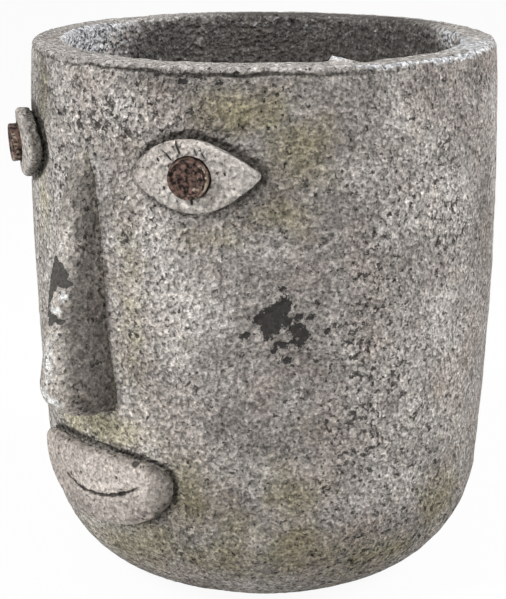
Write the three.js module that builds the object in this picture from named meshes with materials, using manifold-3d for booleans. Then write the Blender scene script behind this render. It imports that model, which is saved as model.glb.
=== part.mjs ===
// A face planter: a cast cement pot with eye plates, a nose and lips bedded on its wall in mortar, rusted
// iris caps let into the plates, a rubber plug in its drain hole and rubber pads under its base.
// Millimetres, +Z up. The face looks towards -Y, and left and right are those of someone who faces it.
import * as THREE from 'three';
import { mergeVertices } from 'three/addons/utils/BufferGeometryUtils.js';
import Module from 'manifold-3d';

// Pot shell: a bowed wall on a large rounded corner
const POT_HEIGHT = 230.5;
const BELLY_RADIUS = 100;
const BELLY_LEVEL = 165.5; // the widest place, above the base
const BOW_RADIUS = 1300; // of the wall, seen from the side
const CORNER_RADIUS = 52; // from the wall to the base
const BASE_CUT = 2.5; // the flat base cuts this much off the round of the corner
const WALL = 15;
const FLOOR = 18;
const RIM_EDGE = 2.5; // rounding of both edges of the rim

// Drain hole with a counterbore for the plug's flange
const DRAIN_RADIUS = 11;
const FLANGE_SEAT_RADIUS = 17;
const FLANGE_SEAT_DEPTH = 4.5;

// Drain plug
const FLANGE_THICKNESS = 4;
const FLANGE_EDGE = 1;
const SHANK_TAPER = 0.9; // how much narrower the shank's end is
const SHANK_CHAMFER = 1.5;
const SHANK_SHORT = 1.5; // the shank's end lies this far above the base

// Clearance between pieces, and the mortar beds behind the face
const CLEARANCE = 0.3;
const BED_THICKNESS = 0.6;
const BED_INSET = 1.5; // the mortar is raked out this far under a piece's edge

// Eye plates
const EYE_AZIMUTH = 31; // degrees from the middle of the face
const EYE_BELOW_RIM = 41.2;
const EYE_WIDTH = 51;
const EYE_HEIGHT = 29;
const EYE_RISE = 5.8; // front of the plate from the wall
const EYE_TILT = 5; // degrees that the plate looks down
const EYE_EDGE = 1.4;

// Iris caps
const IRIS_RADIUS = 8;
const IRIS_RISE = 3.6; // from the plate
const IRIS_SEAT_DEPTH = 1.8; // into the plate
const IRIS_OFF_CENTRE = 0.8; // towards the nose
const IRIS_SHEET = 1.2;
const IRIS_DISH = 0.6;
const IRIS_EDGE = 0.8;

// Lips
const LIPS_LEVEL = 59.5; // the corners of the mouth, above the base
const LIPS_WIDTH = 80;
const LIPS_UPPER = 11.3; // above the corners of the mouth
const LIPS_LOWER = 22; // below them
const LIPS_RISE = 5.2;
const LIPS_EDGE = 2.8;
const LIPS_SQUARENESS = 3.4; // of the upper outline: 2 is an ellipse, more is squarer
const SMILE_WIDTH = 55;
const SMILE_DEPTH = 9.2; // from the ends of the smile to its lowest place
const SMILE_GROOVE = 1.5; // radius of the cut

// Nose
const NOSE_ABOVE_LIPS = 16.7;
const NOSE_BELOW_EYES = 1.6; // its top, under the middle of the eyes
const NOSE_WIDTH = 27;
const BRIDGE_WIDTH = 8;
const NOSE_RISE = 21.7;
const NOSE_BULGE = 0.72; // of its front line: 1 is straight, less is fuller
const BRIDGE_RISE = 2.4;
const NOSE_TIP_ROUND = 12; // from the front to the underside
const NOSE_SIDE_ROUND = 2.5; // from the sides to the underside
const TIP_ROUND_LIMIT = 0.65; // the most of the rise that the tip's rounding may take
const NOSE_FULLNESS = 3.2; // of its section: 2 is an ellipse, more is squarer

// Foot pads
const PAD_COUNT = 4;
const PAD_RADIUS = 7;
const PAD_THICKNESS = 2;
const PAD_MARGIN = 2.6; // to the edge of the flat base

// Fineness of the facets
const POT_SEGMENTS = 64;
const ROUND_SEGMENTS = 32;
const WALL_STEPS = 8;
const CORNER_STEPS = 8;
const EDGE_STEPS = 2;
const OUTLINE_STEPS = 28;
const RING_STEP = 9;
const NOSE_ROWS = 9;
const NOSE_TIP_STEPS = 4;
const NOSE_STEPS = 10;
const SMILE_STEPS = 14;
const GROOVE_SIDES = 8;

const wasm = await Module();
wasm.setup();

const QUARTER = Math.PI / 2;
const OUTER = wallSection(BOW_RADIUS, CORNER_RADIUS, 0, BASE_CUT);
const INNER = wallSection(BOW_RADIUS - WALL, CORNER_RADIUS - WALL, FLOOR, 0);
const BED_FRONT = CLEARANCE + BED_THICKNESS;
const PIECE_BACK = BED_FRONT + CLEARANCE;
const EYE_LEVEL = POT_HEIGHT - EYE_BELOW_RIM;
const LEDGE = FLOOR - FLANGE_SEAT_DEPTH;

// One side of the wall in section: a bow about a far centre, and a corner tangent to it, cut off at the bottom.
function wallSection(bow, corner, bottom, bottomCut) {
  const bowCentre = new THREE.Vector2(BELLY_RADIUS - BOW_RADIUS, BELLY_LEVEL);
  const cornerLevel = bottom + corner - bottomCut;
  const across = Math.sqrt((bow - corner) ** 2 - (BELLY_LEVEL - cornerLevel) ** 2);
  const cornerCentre = new THREE.Vector2(bowCentre.x + across, cornerLevel);
  const start = Math.asin((bottom - cornerLevel) / corner);
  const join = Math.atan2(cornerLevel - BELLY_LEVEL, across);
  return { bow, bowCentre, corner, cornerCentre, start, join };
}

// Points on an arc, both ends included.
function arcPoints(centre, radius, from, to, steps) {
  const points = [];
  for (let i = 0; i <= steps; i += 1) {
    const turn = from + ((to - from) * i) / steps;
    points.push(new THREE.Vector2(centre.x + radius * Math.cos(turn), centre.y + radius * Math.sin(turn)));
  }
  return points;
}

// From the bottom of a wall section, round its corner and up to a level.
function wallPoints(section, top) {
  const { bow, bowCentre, corner, cornerCentre, start, join } = section;
  const end = Math.asin((top - bowCentre.y) / bow);
  return [
    ...arcPoints(cornerCentre, corner, start, join, CORNER_STEPS),
    ...arcPoints(bowCentre, bow, join, end, WALL_STEPS).slice(1),
  ];
}

// The place on the outer wall at an azimuth and a level, moved out square to the wall.
function onWall(azimuth, level, out) {
  const { bow, bowCentre, corner, cornerCentre, join } = OUTER;
  const above = level > cornerCentre.y + corner * Math.sin(join);
  const centre = above ? bowCentre : cornerCentre;
  const radius = above ? bow : corner;
  const slope = Math.asin((level - centre.y) / radius);
  const reach = centre.x + (radius + out) * Math.cos(slope);
  const height = centre.y + (radius + out) * Math.sin(slope);
  return new THREE.Vector3(reach * Math.sin(azimuth), -reach * Math.cos(azimuth), height);
}

// The radius of the outer wall at a level.
function wallRadius(level) {
  return -onWall(0, level, 0).y;
}

// A closed surface over loops of as many points each, drawn in to one point before the first and after the last.
function loopsGeometry(loops, firstPole, lastPole) {
  const size = loops[0].length;
  const points = [firstPole, ...loops.flat(), lastPole];
  const last = points.length - 1;
  const indices = [];
  for (let i = 0; i < size; i += 1) {
    const next = (i + 1) % size;
    indices.push(0, 1 + i, 1 + next);
    for (let row = 0; row + 1 < loops.length; row += 1) {
      const here = 1 + row * size;
      const below = here + size;
      indices.push(here + i, below + i, below + next, here + i, below + next, here + next);
    }
    indices.push(last, last - size + next, last - size + i);
  }
  const geometry = new THREE.BufferGeometry().setFromPoints(points);
  geometry.setIndex(indices);
  geometry.computeVertexNormals();
  return geometry;
}

// Rings from a piece's middle to its edge, as shares of its outline, with the drop of its rounded edge.
function edgeRings(halfWidth, halfHeight, edge) {
  const flat = 1 - edge / halfHeight;
  const count = Math.ceil((halfWidth * flat) / RING_STEP);
  const rings = [];
  for (let i = 1; i <= count; i += 1) {
    rings.push({ share: (flat * i) / count, drop: 0 });
  }
  for (let i = 1; edge > 0 && i <= EDGE_STEPS; i += 1) {
    const turn = (QUARTER * i) / EDGE_STEPS;
    rings.push({ share: 1 - (edge * (1 - Math.sin(turn))) / halfHeight, drop: edge * (1 - Math.cos(turn)) });
  }
  return rings;
}

// A slab on the wall: its outline, right and up from its place, drawn in ring by ring in front and behind.
function slabOnWall(place, outline, rings, rise, back, lean = 0) {
  const reach = wallRadius(place.level);
  const ringAt = (share, outAt) =>
    outline.map((point) => {
      const up = point.y * share;
      return onWall(place.azimuth + (point.x * share) / reach, place.level + up, outAt(up));
    });
  const backRings = rings.filter(({ share, drop }) => drop === 0 || share === 1).reverse();
  const loops = [
    ...rings.map(({ share, drop }) => ringAt(share, (up) => rise + up * lean - drop)),
    ...backRings.map(({ share }) => ringAt(share, () => back)),
  ];
  return loopsGeometry(loops, onWall(place.azimuth, place.level, rise), onWall(place.azimuth, place.level, back));
}

// The mortar bed behind a slab.
function bedOnWall(place, outline, halfWidth, halfHeight) {
  const share = 1 - BED_INSET / halfHeight;
  const bedOutline = outline.map((point) => point.clone().multiplyScalar(share));
  const rings = edgeRings(halfWidth * share, halfHeight * share, 0);
  return slabOnWall(place, bedOutline, rings, BED_FRONT, CLEARANCE);
}

// A solid of revolution about Z, from a profile that runs anticlockwise with the axis on its left.
function turned(profile, segments) {
  return new THREE.LatheGeometry(profile, segments).rotateX(QUARTER);
}

// A geometry with others cut out of it.
function cut(geometry, ...tools) {
  const solids = [geometry, ...tools].map((one) => {
    const bare = one.clone();
    bare.deleteAttribute('normal');
    bare.deleteAttribute('uv');
    const merged = mergeVertices(bare);
    const vertProperties = merged.attributes.position.array;
    const triVerts = new Uint32Array(merged.index.array);
    return new wasm.Manifold(new wasm.Mesh({ numProp: 3, vertProperties, triVerts }));
  });
  const mesh = solids.reduce((whole, tool) => whole.subtract(tool)).getMesh();
  const result = new THREE.BufferGeometry();
  result.setAttribute('position', new THREE.BufferAttribute(mesh.vertProperties, 3));
  result.setIndex(new THREE.BufferAttribute(mesh.triVerts, 1));
  result.computeVertexNormals();
  return result;
}

function piece(name, geometry, color, roughness, metalness = 0) {
  const mesh = new THREE.Mesh(geometry, new THREE.MeshStandardMaterial({ color, roughness, metalness }));
  mesh.name = name;
  return mesh;
}

function cementPiece(name, geometry) {
  return piece(name, geometry, 0x8f8a85, 0.95);
}

function paleCementPiece(name, geometry) {
  return piece(name, geometry, 0xaaa39e, 0.9);
}

function mortarPiece(name, geometry) {
  return piece(name, geometry, 0x5b5853, 1);
}

function rustedSteelPiece(name, geometry) {
  return piece(name, geometry, 0x4a3230, 0.6, 0.5);
}

function rubberPiece(name, geometry) {
  return piece(name, geometry, 0x2b2b2b, 0.85);
}

// The pot: base, corner, wall and rim outside, then down the inside to the floor and the drain hole.
function potShell() {
  const topOfWall = POT_HEIGHT - RIM_EDGE;
  const outside = wallPoints(OUTER, topOfWall);
  const inside = wallPoints(INNER, topOfWall);
  const outerRim = outside.at(-1);
  const innerRim = inside.at(-1);
  const profile = [
    new THREE.Vector2(DRAIN_RADIUS, 0),
    ...outside,
    ...arcPoints({ x: outerRim.x - RIM_EDGE, y: topOfWall }, RIM_EDGE, 0, QUARTER, EDGE_STEPS).slice(1),
    ...arcPoints({ x: innerRim.x + RIM_EDGE, y: topOfWall }, RIM_EDGE, QUARTER, 2 * QUARTER, EDGE_STEPS),
    ...inside.reverse().slice(1),
    new THREE.Vector2(FLANGE_SEAT_RADIUS, FLOOR),
    new THREE.Vector2(FLANGE_SEAT_RADIUS, LEDGE),
    new THREE.Vector2(DRAIN_RADIUS, LEDGE),
    new THREE.Vector2(DRAIN_RADIUS, 0),
  ];
  return cementPiece('pot_shell', turned(profile, POT_SEGMENTS));
}

// An almond, blunter on the side of the nose, for the eye on the right (side 1) or the left (side -1).
function eyeOutline(side) {
  const wide = EYE_WIDTH / 2;
  const high = EYE_HEIGHT / 2;
  const almond = new THREE.Shape();
  almond.moveTo(wide, 0.1 * high);
  almond.bezierCurveTo(0.62 * wide, 0.5 * high, 0.3 * wide, high, -0.08 * wide, high);
  almond.bezierCurveTo(-0.46 * wide, high, -0.85 * wide, 0.64 * high, -wide, -0.13 * high);
  almond.bezierCurveTo(-0.77 * wide, -0.47 * high, -0.46 * wide, -high, 0, -high);
  almond.bezierCurveTo(0.38 * wide, -high, 0.77 * wide, -0.4 * high, wide, 0.1 * high);
  const points = almond.getPoints(OUTLINE_STEPS / 4).slice(0, OUTLINE_STEPS);
  return side > 0 ? points : points.map((point) => new THREE.Vector2(-point.x, point.y)).reverse();
}

function eyePlace(side) {
  return { azimuth: side * THREE.MathUtils.degToRad(EYE_AZIMUTH), level: EYE_LEVEL };
}

// Puts something made about Z on the front of an eye plate, where the iris is.
function atIris(object, side) {
  const { azimuth, level } = eyePlace(side);
  const turn = azimuth - (side * IRIS_OFF_CENTRE) / wallRadius(level);
  const foot = onWall(turn, level, 0);
  const square = onWall(turn, level, 1).sub(foot);
  const sideways = new THREE.Vector3(Math.cos(turn), Math.sin(turn), 0);
  const outwards = square.clone().applyAxisAngle(sideways, THREE.MathUtils.degToRad(EYE_TILT));
  object.position.copy(foot).addScaledVector(square, EYE_RISE);
  object.quaternion.setFromUnitVectors(new THREE.Vector3(0, 0, 1), outwards);
  return object;
}

// An eye plate with the round seat of its iris cap.
function eyePlate(side, name) {
  const rings = edgeRings(EYE_WIDTH / 2, EYE_HEIGHT / 2, EYE_EDGE);
  const lean = Math.tan(THREE.MathUtils.degToRad(EYE_TILT));
  const slab = slabOnWall(eyePlace(side), eyeOutline(side), rings, EYE_RISE, PIECE_BACK, lean);
  const seatRadius = IRIS_RADIUS + CLEARANCE;
  const seat = new THREE.CylinderGeometry(seatRadius, seatRadius, 2 * IRIS_SEAT_DEPTH, ROUND_SEGMENTS);
  const placed = atIris(new THREE.Object3D(), side);
  placed.updateMatrix();
  return paleCementPiece(name, cut(slab, seat.rotateX(QUARTER).applyMatrix4(placed.matrix)));
}

function eyeBed(side, name) {
  return mortarPiece(name, bedOnWall(eyePlace(side), eyeOutline(side), EYE_WIDTH / 2, EYE_HEIGHT / 2));
}

// An iris cap: a pressed steel cup with a dished face, open behind.
function irisCap(side, name) {
  const foot = CLEARANCE - IRIS_SEAT_DEPTH;
  const face = IRIS_RISE - IRIS_DISH;
  const bore = IRIS_RADIUS - IRIS_SHEET;
  const edgeCentre = { x: IRIS_RADIUS - IRIS_EDGE, y: IRIS_RISE - IRIS_EDGE };
  const profile = [
    new THREE.Vector2(0, face - IRIS_SHEET),
    new THREE.Vector2(bore, face - IRIS_SHEET),
    new THREE.Vector2(bore, foot),
    new THREE.Vector2(IRIS_RADIUS, foot),
    ...arcPoints(edgeCentre, IRIS_EDGE, 0, QUARTER, EDGE_STEPS),
    new THREE.Vector2(bore - IRIS_EDGE, face),
    new THREE.Vector2(0, face),
  ];
  return atIris(rustedSteelPiece(name, turned(profile, ROUND_SEGMENTS)), side);
}

const LIPS_PLACE = { azimuth: 0, level: LIPS_LEVEL };

// Lips: nearly straight on top, round below.
function lipsOutline() {
  const points = [];
  for (let i = 0; i < OUTLINE_STEPS; i += 1) {
    const turn = (4 * QUARTER * i) / OUTLINE_STEPS;
    const upper = Math.sin(turn) > 0;
    const power = upper ? 2 / LIPS_SQUARENESS : 1;
    const across = Math.sign(Math.cos(turn)) * Math.abs(Math.cos(turn)) ** power;
    const up = Math.sign(Math.sin(turn)) * Math.abs(Math.sin(turn)) ** power;
    points.push(new THREE.Vector2((across * LIPS_WIDTH) / 2, up * (upper ? LIPS_UPPER : LIPS_LOWER)));
  }
  return points;
}

// The smile: a round groove along a parabola on the front of the lips.
function smileGroove() {
  const points = [];
  for (let i = 0; i <= SMILE_STEPS; i += 1) {
    const across = (2 * i) / SMILE_STEPS - 1;
    const azimuth = (across * SMILE_WIDTH) / 2 / wallRadius(LIPS_LEVEL);
    points.push(onWall(azimuth, LIPS_LEVEL - SMILE_DEPTH * (1 - across ** 2), LIPS_RISE));
  }
  const section = new THREE.Shape(arcPoints({ x: 0, y: 0 }, SMILE_GROOVE, 0, 4 * QUARTER, GROOVE_SIDES).slice(1));
  const extrudePath = new THREE.CatmullRomCurve3(points);
  return new THREE.ExtrudeGeometry(section, { extrudePath, steps: SMILE_STEPS, bevelEnabled: false });
}

function lips() {
  const rings = edgeRings(LIPS_WIDTH / 2, LIPS_UPPER, LIPS_EDGE);
  const slab = slabOnWall(LIPS_PLACE, lipsOutline(), rings, LIPS_RISE, PIECE_BACK);
  return paleCementPiece('lips', cut(slab, smileGroove()));
}

function lipsBed() {
  return mortarPiece('lips_bed', bedOnWall(LIPS_PLACE, lipsOutline(), LIPS_WIDTH / 2, LIPS_UPPER));
}

// A bar up the middle of the face, from rows that each have a level, a half width and a rise over its back.
function barOnWall(rows, back, fullness) {
  const loops = rows.map(({ level, half, rise }) => {
    const reach = wallRadius(level);
    const front = [];
    const behind = [];
    for (let i = 0; i <= NOSE_STEPS; i += 1) {
      const turn = (2 * QUARTER * i) / NOSE_STEPS;
      const across = -Math.sign(Math.cos(turn)) * Math.abs(Math.cos(turn)) ** (2 / fullness);
      const out = back + rise * Math.abs(Math.sin(turn)) ** (2 / fullness);
      front.push(onWall((across * half) / reach, level, i % NOSE_STEPS ? out : back));
      behind.unshift(onWall((across * half) / reach, level, back));
    }
    return [...front, ...behind.slice(1, -1)];
  });
  const poles = [rows[0], rows.at(-1)].map(({ level, rise }) => onWall(0, level, back + rise / 2));
  return loopsGeometry(loops, ...poles);
}

// Levels of the nose and its half width a share of the way down.
function noseSpan() {
  const top = EYE_LEVEL - NOSE_BELOW_EYES;
  const bottom = LIPS_LEVEL + LIPS_UPPER + NOSE_ABOVE_LIPS;
  const halfAt = (share) => (BRIDGE_WIDTH + (NOSE_WIDTH - BRIDGE_WIDTH) * Math.sqrt(share)) / 2;
  return { top, bottom, halfAt };
}

// The nose: a wedge that widens and rises from the bridge to a tip with a rounded underside.
function nose() {
  const { top, bottom, halfAt } = noseSpan();
  const round = Math.min(NOSE_TIP_ROUND, (NOSE_RISE - PIECE_BACK) * TIP_ROUND_LIMIT);
  const tip = bottom + round;
  const rows = [];
  for (let i = 0; i <= NOSE_ROWS; i += 1) {
    const share = i / NOSE_ROWS;
    const rise = BRIDGE_RISE + (NOSE_RISE - BRIDGE_RISE) * share ** NOSE_BULGE - PIECE_BACK;
    rows.push({ level: top + (tip - top) * share, half: halfAt(share), rise });
  }
  const full = rows.at(-1);
  for (let i = 1; i <= NOSE_TIP_STEPS; i += 1) {
    const turn = (QUARTER * i) / NOSE_TIP_STEPS;
    const inset = 1 - Math.cos(turn);
    rows.push({
      level: tip - round * Math.sin(turn),
      half: full.half - NOSE_SIDE_ROUND * inset,
      rise: full.rise - round * inset,
    });
  }
  return cementPiece('nose', barOnWall(rows, PIECE_BACK, NOSE_FULLNESS));
}

// The nose's mortar bed: a flat bar, square at its edges.
function noseBed() {
  const { top, bottom, halfAt } = noseSpan();
  const low = bottom + NOSE_SIDE_ROUND + BED_INSET;
  const high = top - BED_INSET;
  const rows = [];
  for (let i = 0; i <= NOSE_ROWS; i += 1) {
    const level = high + ((low - high) * i) / NOSE_ROWS;
    rows.push({ level, half: halfAt((top - level) / (top - low)) - BED_INSET, rise: BED_THICKNESS });
  }
  return mortarPiece('nose_bed', barOnWall(rows, CLEARANCE, 2 * NOSE_STEPS));
}

// The plug: a flange that lies on the ledge of the counterbore, and a tapered shank in the drain hole.
function drainPlug() {
  const under = LEDGE + CLEARANCE;
  const top = under + FLANGE_THICKNESS;
  const flangeRadius = FLANGE_SEAT_RADIUS - CLEARANCE;
  const shankRadius = DRAIN_RADIUS - CLEARANCE;
  const endRadius = shankRadius - SHANK_TAPER;
  const profile = [
    new THREE.Vector2(0, SHANK_SHORT),
    new THREE.Vector2(endRadius - SHANK_CHAMFER, SHANK_SHORT),
    new THREE.Vector2(endRadius, SHANK_SHORT + SHANK_CHAMFER),
    new THREE.Vector2(shankRadius, under),
    new THREE.Vector2(flangeRadius, under),
    ...arcPoints({ x: flangeRadius - FLANGE_EDGE, y: top - FLANGE_EDGE }, FLANGE_EDGE, 0, QUARTER, EDGE_STEPS),
    new THREE.Vector2(0, top),
  ];
  return rubberPiece('drain_plug', turned(profile, ROUND_SEGMENTS));
}

// A pad under the flat base, near its edge.
function footPad(index) {
  const circle = wallRadius(0) - PAD_MARGIN - PAD_RADIUS;
  const azimuth = (4 * QUARTER * (index + 0.5)) / PAD_COUNT;
  const disc = new THREE.CylinderGeometry(PAD_RADIUS, PAD_RADIUS, PAD_THICKNESS, ROUND_SEGMENTS).rotateX(QUARTER);
  const pad = rubberPiece(`foot_pad_${index + 1}`, disc);
  pad.position.set(circle * Math.sin(azimuth), -circle * Math.cos(azimuth), PAD_THICKNESS / 2);
  return pad;
}

// The pot stands on its pads, and the face is set out from the middle of its front.
const pot = new THREE.Group();
pot.position.z = PAD_THICKNESS;
pot.add(potShell(), nose(), noseBed(), lips(), lipsBed(), drainPlug());
for (const [side, hand] of [[-1, 'left'], [1, 'right']]) {
  pot.add(eyePlate(side, `eye_plate_${hand}`));
  pot.add(eyeBed(side, `eye_bed_${hand}`));
  pot.add(irisCap(side, `iris_cap_${hand}`));
}

const standing = new THREE.Group();
standing.add(pot);
for (let index = 0; index < PAD_COUNT; index += 1) {
  standing.add(footPad(index));
}

// The origin lies under the middle of the whole part, nose included, so the pot's axis is a little behind it.
const span = new THREE.Box3().setFromObject(standing, true);
standing.position.y = -(span.min.y + span.max.y) / 2;

const part = new THREE.Group();
part.add(standing);

export default part;
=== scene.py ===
import math

import bmesh
import bpy
import numpy as np
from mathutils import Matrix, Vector


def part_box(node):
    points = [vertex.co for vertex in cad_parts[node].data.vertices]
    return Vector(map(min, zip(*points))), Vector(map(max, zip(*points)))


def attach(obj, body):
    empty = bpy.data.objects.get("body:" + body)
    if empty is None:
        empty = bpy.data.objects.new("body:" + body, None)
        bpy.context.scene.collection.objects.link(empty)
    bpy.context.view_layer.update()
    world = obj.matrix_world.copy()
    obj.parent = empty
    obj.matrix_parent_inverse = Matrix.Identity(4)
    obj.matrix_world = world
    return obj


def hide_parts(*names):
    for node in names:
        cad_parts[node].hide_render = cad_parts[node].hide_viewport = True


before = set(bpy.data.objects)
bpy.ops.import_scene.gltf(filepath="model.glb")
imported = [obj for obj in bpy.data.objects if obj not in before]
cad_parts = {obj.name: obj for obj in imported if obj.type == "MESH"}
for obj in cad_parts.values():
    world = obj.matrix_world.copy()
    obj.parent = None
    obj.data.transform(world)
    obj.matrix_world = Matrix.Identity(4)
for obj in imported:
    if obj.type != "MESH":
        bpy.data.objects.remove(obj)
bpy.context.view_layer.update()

# Pot shell
# The body of the planter: sandy cement cast in a mould, rubbed down by hand and left out to weather. It is
# grey and porous, mossy where it stays damp, pale on its worn flat rim and chipped to its dark core. Its
# inside, its foot, the crack under the rim and the seams round the face are painted darker, partly as stains
# and partly as painted shade; its inner wall on the left and its rim's outer edge on the right are painted
# paler, as painted light and painted highlights.
MM = 0.001
shell_low, shell_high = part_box("pot_shell")
AXIS_Y = (shell_low.y + shell_high.y) / 2 / MM  # this and all sizes below are in millimetres
BASE = shell_low.z / MM  # levels count from the underside of the shell
RIM = shell_high.z / MM - BASE
BELLY_RADIUS = 100.0
BELLY_LEVEL = 165.5
BOW_RADIUS = 1300.0  # of the wall, seen from the side
CORNER_RADIUS = 52.0
BASE_CUT = 2.5
WALL = 15.0
FLOOR = 18.0
RIM_EDGE = 2.5
DRAIN_RADIUS = 11.0
SEAT_RADIUS = 17.0  # of the counterbore for the plug's flange
SEAT_LEVEL = 13.5
COLUMNS = 424
TURN = 2 * math.pi


BOW_CENTRE = (BELLY_RADIUS - BOW_RADIUS, BELLY_LEVEL)
INNER_BOW, INNER_CORNER = BOW_RADIUS - WALL, CORNER_RADIUS - WALL


def wall_corner(bow, corner, corner_level):
    """The centre of the corner arc that runs into a bow of the wall, and the slope where they join."""
    across = math.sqrt((bow - corner) ** 2 - (BELLY_LEVEL - corner_level) ** 2)
    return (BOW_CENTRE[0] + across, corner_level), math.atan2(corner_level - BELLY_LEVEL, across)


CORNER_CENTRE, JOIN = wall_corner(BOW_RADIUS, CORNER_RADIUS, CORNER_RADIUS - BASE_CUT)
INNER_CENTRE, INNER_JOIN = wall_corner(INNER_BOW, INNER_CORNER, FLOOR + INNER_CORNER)


def on_wall(azimuth, level, out):
    """Points square off the outer wall: degrees round from the middle of the face, level and distance."""
    azimuth, level, out = np.broadcast_arrays(np.radians(azimuth), level, out)
    above = level > CORNER_CENTRE[1] + CORNER_RADIUS * math.sin(JOIN)
    centre_reach = np.where(above, BOW_CENTRE[0], CORNER_CENTRE[0])
    centre_level = np.where(above, BOW_CENTRE[1], CORNER_CENTRE[1])
    radius = np.where(above, BOW_RADIUS, CORNER_RADIUS)
    slope = np.arcsin(np.clip((level - centre_level) / radius, -1, 1))
    reach = centre_reach + (radius + out) * np.cos(slope)
    height = centre_level + (radius + out) * np.sin(slope)
    return np.stack([reach * np.sin(azimuth), -reach * np.cos(azimuth), height], -1)


def off_wall(points):
    """The azimuth in degrees, the level and the distance off the outer wall of points."""
    reach, level = np.hypot(points[:, 0], points[:, 1]), points[:, 2]
    azimuth = np.degrees(np.arctan2(points[:, 0], -points[:, 1]))
    above = np.arctan2(level - CORNER_CENTRE[1], reach - CORNER_CENTRE[0]) > JOIN
    from_bow = np.hypot(reach - BOW_CENTRE[0], level - BOW_CENTRE[1]) - BOW_RADIUS
    from_corner = np.hypot(reach - CORNER_CENTRE[0], level - CORNER_CENTRE[1]) - CORNER_RADIUS
    return azimuth, level, np.where(above, from_bow, from_corner)


def across_wall(azimuth, middle):
    """How far round the wall an azimuth lies from another one."""
    return np.radians((azimuth - middle + 180) % 360 - 180) * BELLY_RADIUS


def arc(centre, radius, start, end, spacing):
    """Points of a section along an arc, about so far apart, without the last one."""
    count = max(3, math.ceil(abs(end - start) * radius / spacing))
    turns = start + (end - start) * np.arange(count) / count
    return np.stack([centre[0] + radius * np.cos(turns), centre[1] + radius * np.sin(turns)], -1)


def line(start, end, spacing):
    """Points of a section along a line, about so far apart, without the last one."""
    count = max(1, math.ceil(math.dist(start, end) / spacing))
    return np.array(start) + (np.array(end) - np.array(start)) * (np.arange(count) / count)[:, None]


def up_wall(bow, level):
    """The slope on a bow of the wall at a level."""
    return math.asin((level - BELLY_LEVEL) / bow)


def shell_section():
    """The wall in section, from the drain hole out along the base, up, over the rim, and down the inside."""
    under_rim, edge_level, seen_inside = RIM - 8, RIM - RIM_EDGE, RIM - 52
    base_start = math.asin(-CORNER_CENTRE[1] / CORNER_RADIUS)
    base_edge = CORNER_CENTRE[0] + CORNER_RADIUS * math.cos(base_start)
    slopes = [JOIN, up_wall(BOW_RADIUS, under_rim), up_wall(BOW_RADIUS, edge_level)]
    inner_slopes = [up_wall(INNER_BOW, edge_level), up_wall(INNER_BOW, seen_inside), INNER_JOIN]
    outer_top = BOW_CENTRE[0] + BOW_RADIUS * math.cos(slopes[2])
    rim_outer, rim_inner = outer_top - RIM_EDGE, outer_top - WALL + RIM_EDGE
    return np.concatenate([
        line((DRAIN_RADIUS, 0), (base_edge, 0), spacing=8),
        arc(CORNER_CENTRE, CORNER_RADIUS, base_start, JOIN, spacing=1.7),
        arc(BOW_CENTRE, BOW_RADIUS, *slopes[:2], spacing=1.68),
        arc(BOW_CENTRE, BOW_RADIUS, *slopes[1:], spacing=0.8),
        arc((rim_outer, edge_level), RIM_EDGE, 0, TURN / 4, spacing=0.9),
        line((rim_outer, RIM), (rim_inner, RIM), spacing=1.3),
        arc((rim_inner, edge_level), RIM_EDGE, TURN / 4, TURN / 2, spacing=0.9),
        arc(BOW_CENTRE, INNER_BOW, *inner_slopes[:2], spacing=2.2),
        arc(BOW_CENTRE, INNER_BOW, *inner_slopes[1:], spacing=7),
        arc(INNER_CENTRE, INNER_CORNER, INNER_JOIN, -TURN / 4, spacing=8),
        line((INNER_CENTRE[0], FLOOR), (SEAT_RADIUS, FLOOR), spacing=8),
        line((SEAT_RADIUS, FLOOR), (SEAT_RADIUS, SEAT_LEVEL), spacing=3),
        line((SEAT_RADIUS, SEAT_LEVEL), (DRAIN_RADIUS, SEAT_LEVEL), spacing=3),
        line((DRAIN_RADIUS, SEAT_LEVEL), (DRAIN_RADIUS, 0), spacing=5),
    ])


def new_piece(name, points, faces):
    """An object whose mesh has these points, given about the pot's axis."""
    mesh = bpy.data.meshes.new(name)
    mesh.from_pydata(((np.asarray(points) + (0, AXIS_Y, BASE)) * MM).tolist(), [], faces)
    piece = bpy.data.objects.new(name, mesh)
    bpy.context.scene.collection.objects.link(piece)
    return piece


def vectors_of(piece, kind):
    """What a piece's mesh holds of a kind, one vector for each point."""
    flat = np.zeros(len(piece.data.vertices) * 3)
    piece.data.vertices.foreach_get(kind, flat)
    return flat.reshape(-1, 3)


def points_of(piece):
    """A piece's points, about the pot's axis."""
    return vectors_of(piece, "co") / MM - (0, AXIS_Y, BASE)


def normals_of(piece):
    """A piece's outward directions, one for each point."""
    return vectors_of(piece, "normal")


def move_points(piece, points):
    """Puts a piece's points, about the pot's axis."""
    piece.data.vertices.foreach_set("co", ((points + (0, AXIS_Y, BASE)) * MM).ravel())
    piece.data.update()


def paint(piece, **fields):
    """Gives a piece's points named values, for its relief and its material."""
    count = len(piece.data.vertices)
    for name, values in fields.items():
        attribute = piece.data.attributes.new(name, "FLOAT", "POINT")
        attribute.data.foreach_set("value", np.broadcast_to(values, count).astype(np.float32))


def add(tree, kind, links=None, **settings):
    """A new node with its settings. Links give a socket a value, another socket or a node's first output."""
    node = tree.nodes.new(kind)
    for name, value in settings.items():
        setattr(node, name, value)
    for socket, value in (links or {}).items():
        if isinstance(value, bpy.types.Node):
            value = value.outputs[0]
        if isinstance(value, bpy.types.NodeSocket):
            tree.links.new(value, node.inputs[socket])
        else:
            node.inputs[socket].default_value = value
    return node


def reckon(tree, operation, *values):
    """A sum with one to three values."""
    return add(tree, "ShaderNodeMath", dict(enumerate(values)), operation=operation)


def scaled(tree, vector, amount):
    """A vector or a colour times an amount."""
    return add(tree, "ShaderNodeVectorMath", {0: vector, "Scale": amount}, operation="SCALE")


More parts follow.
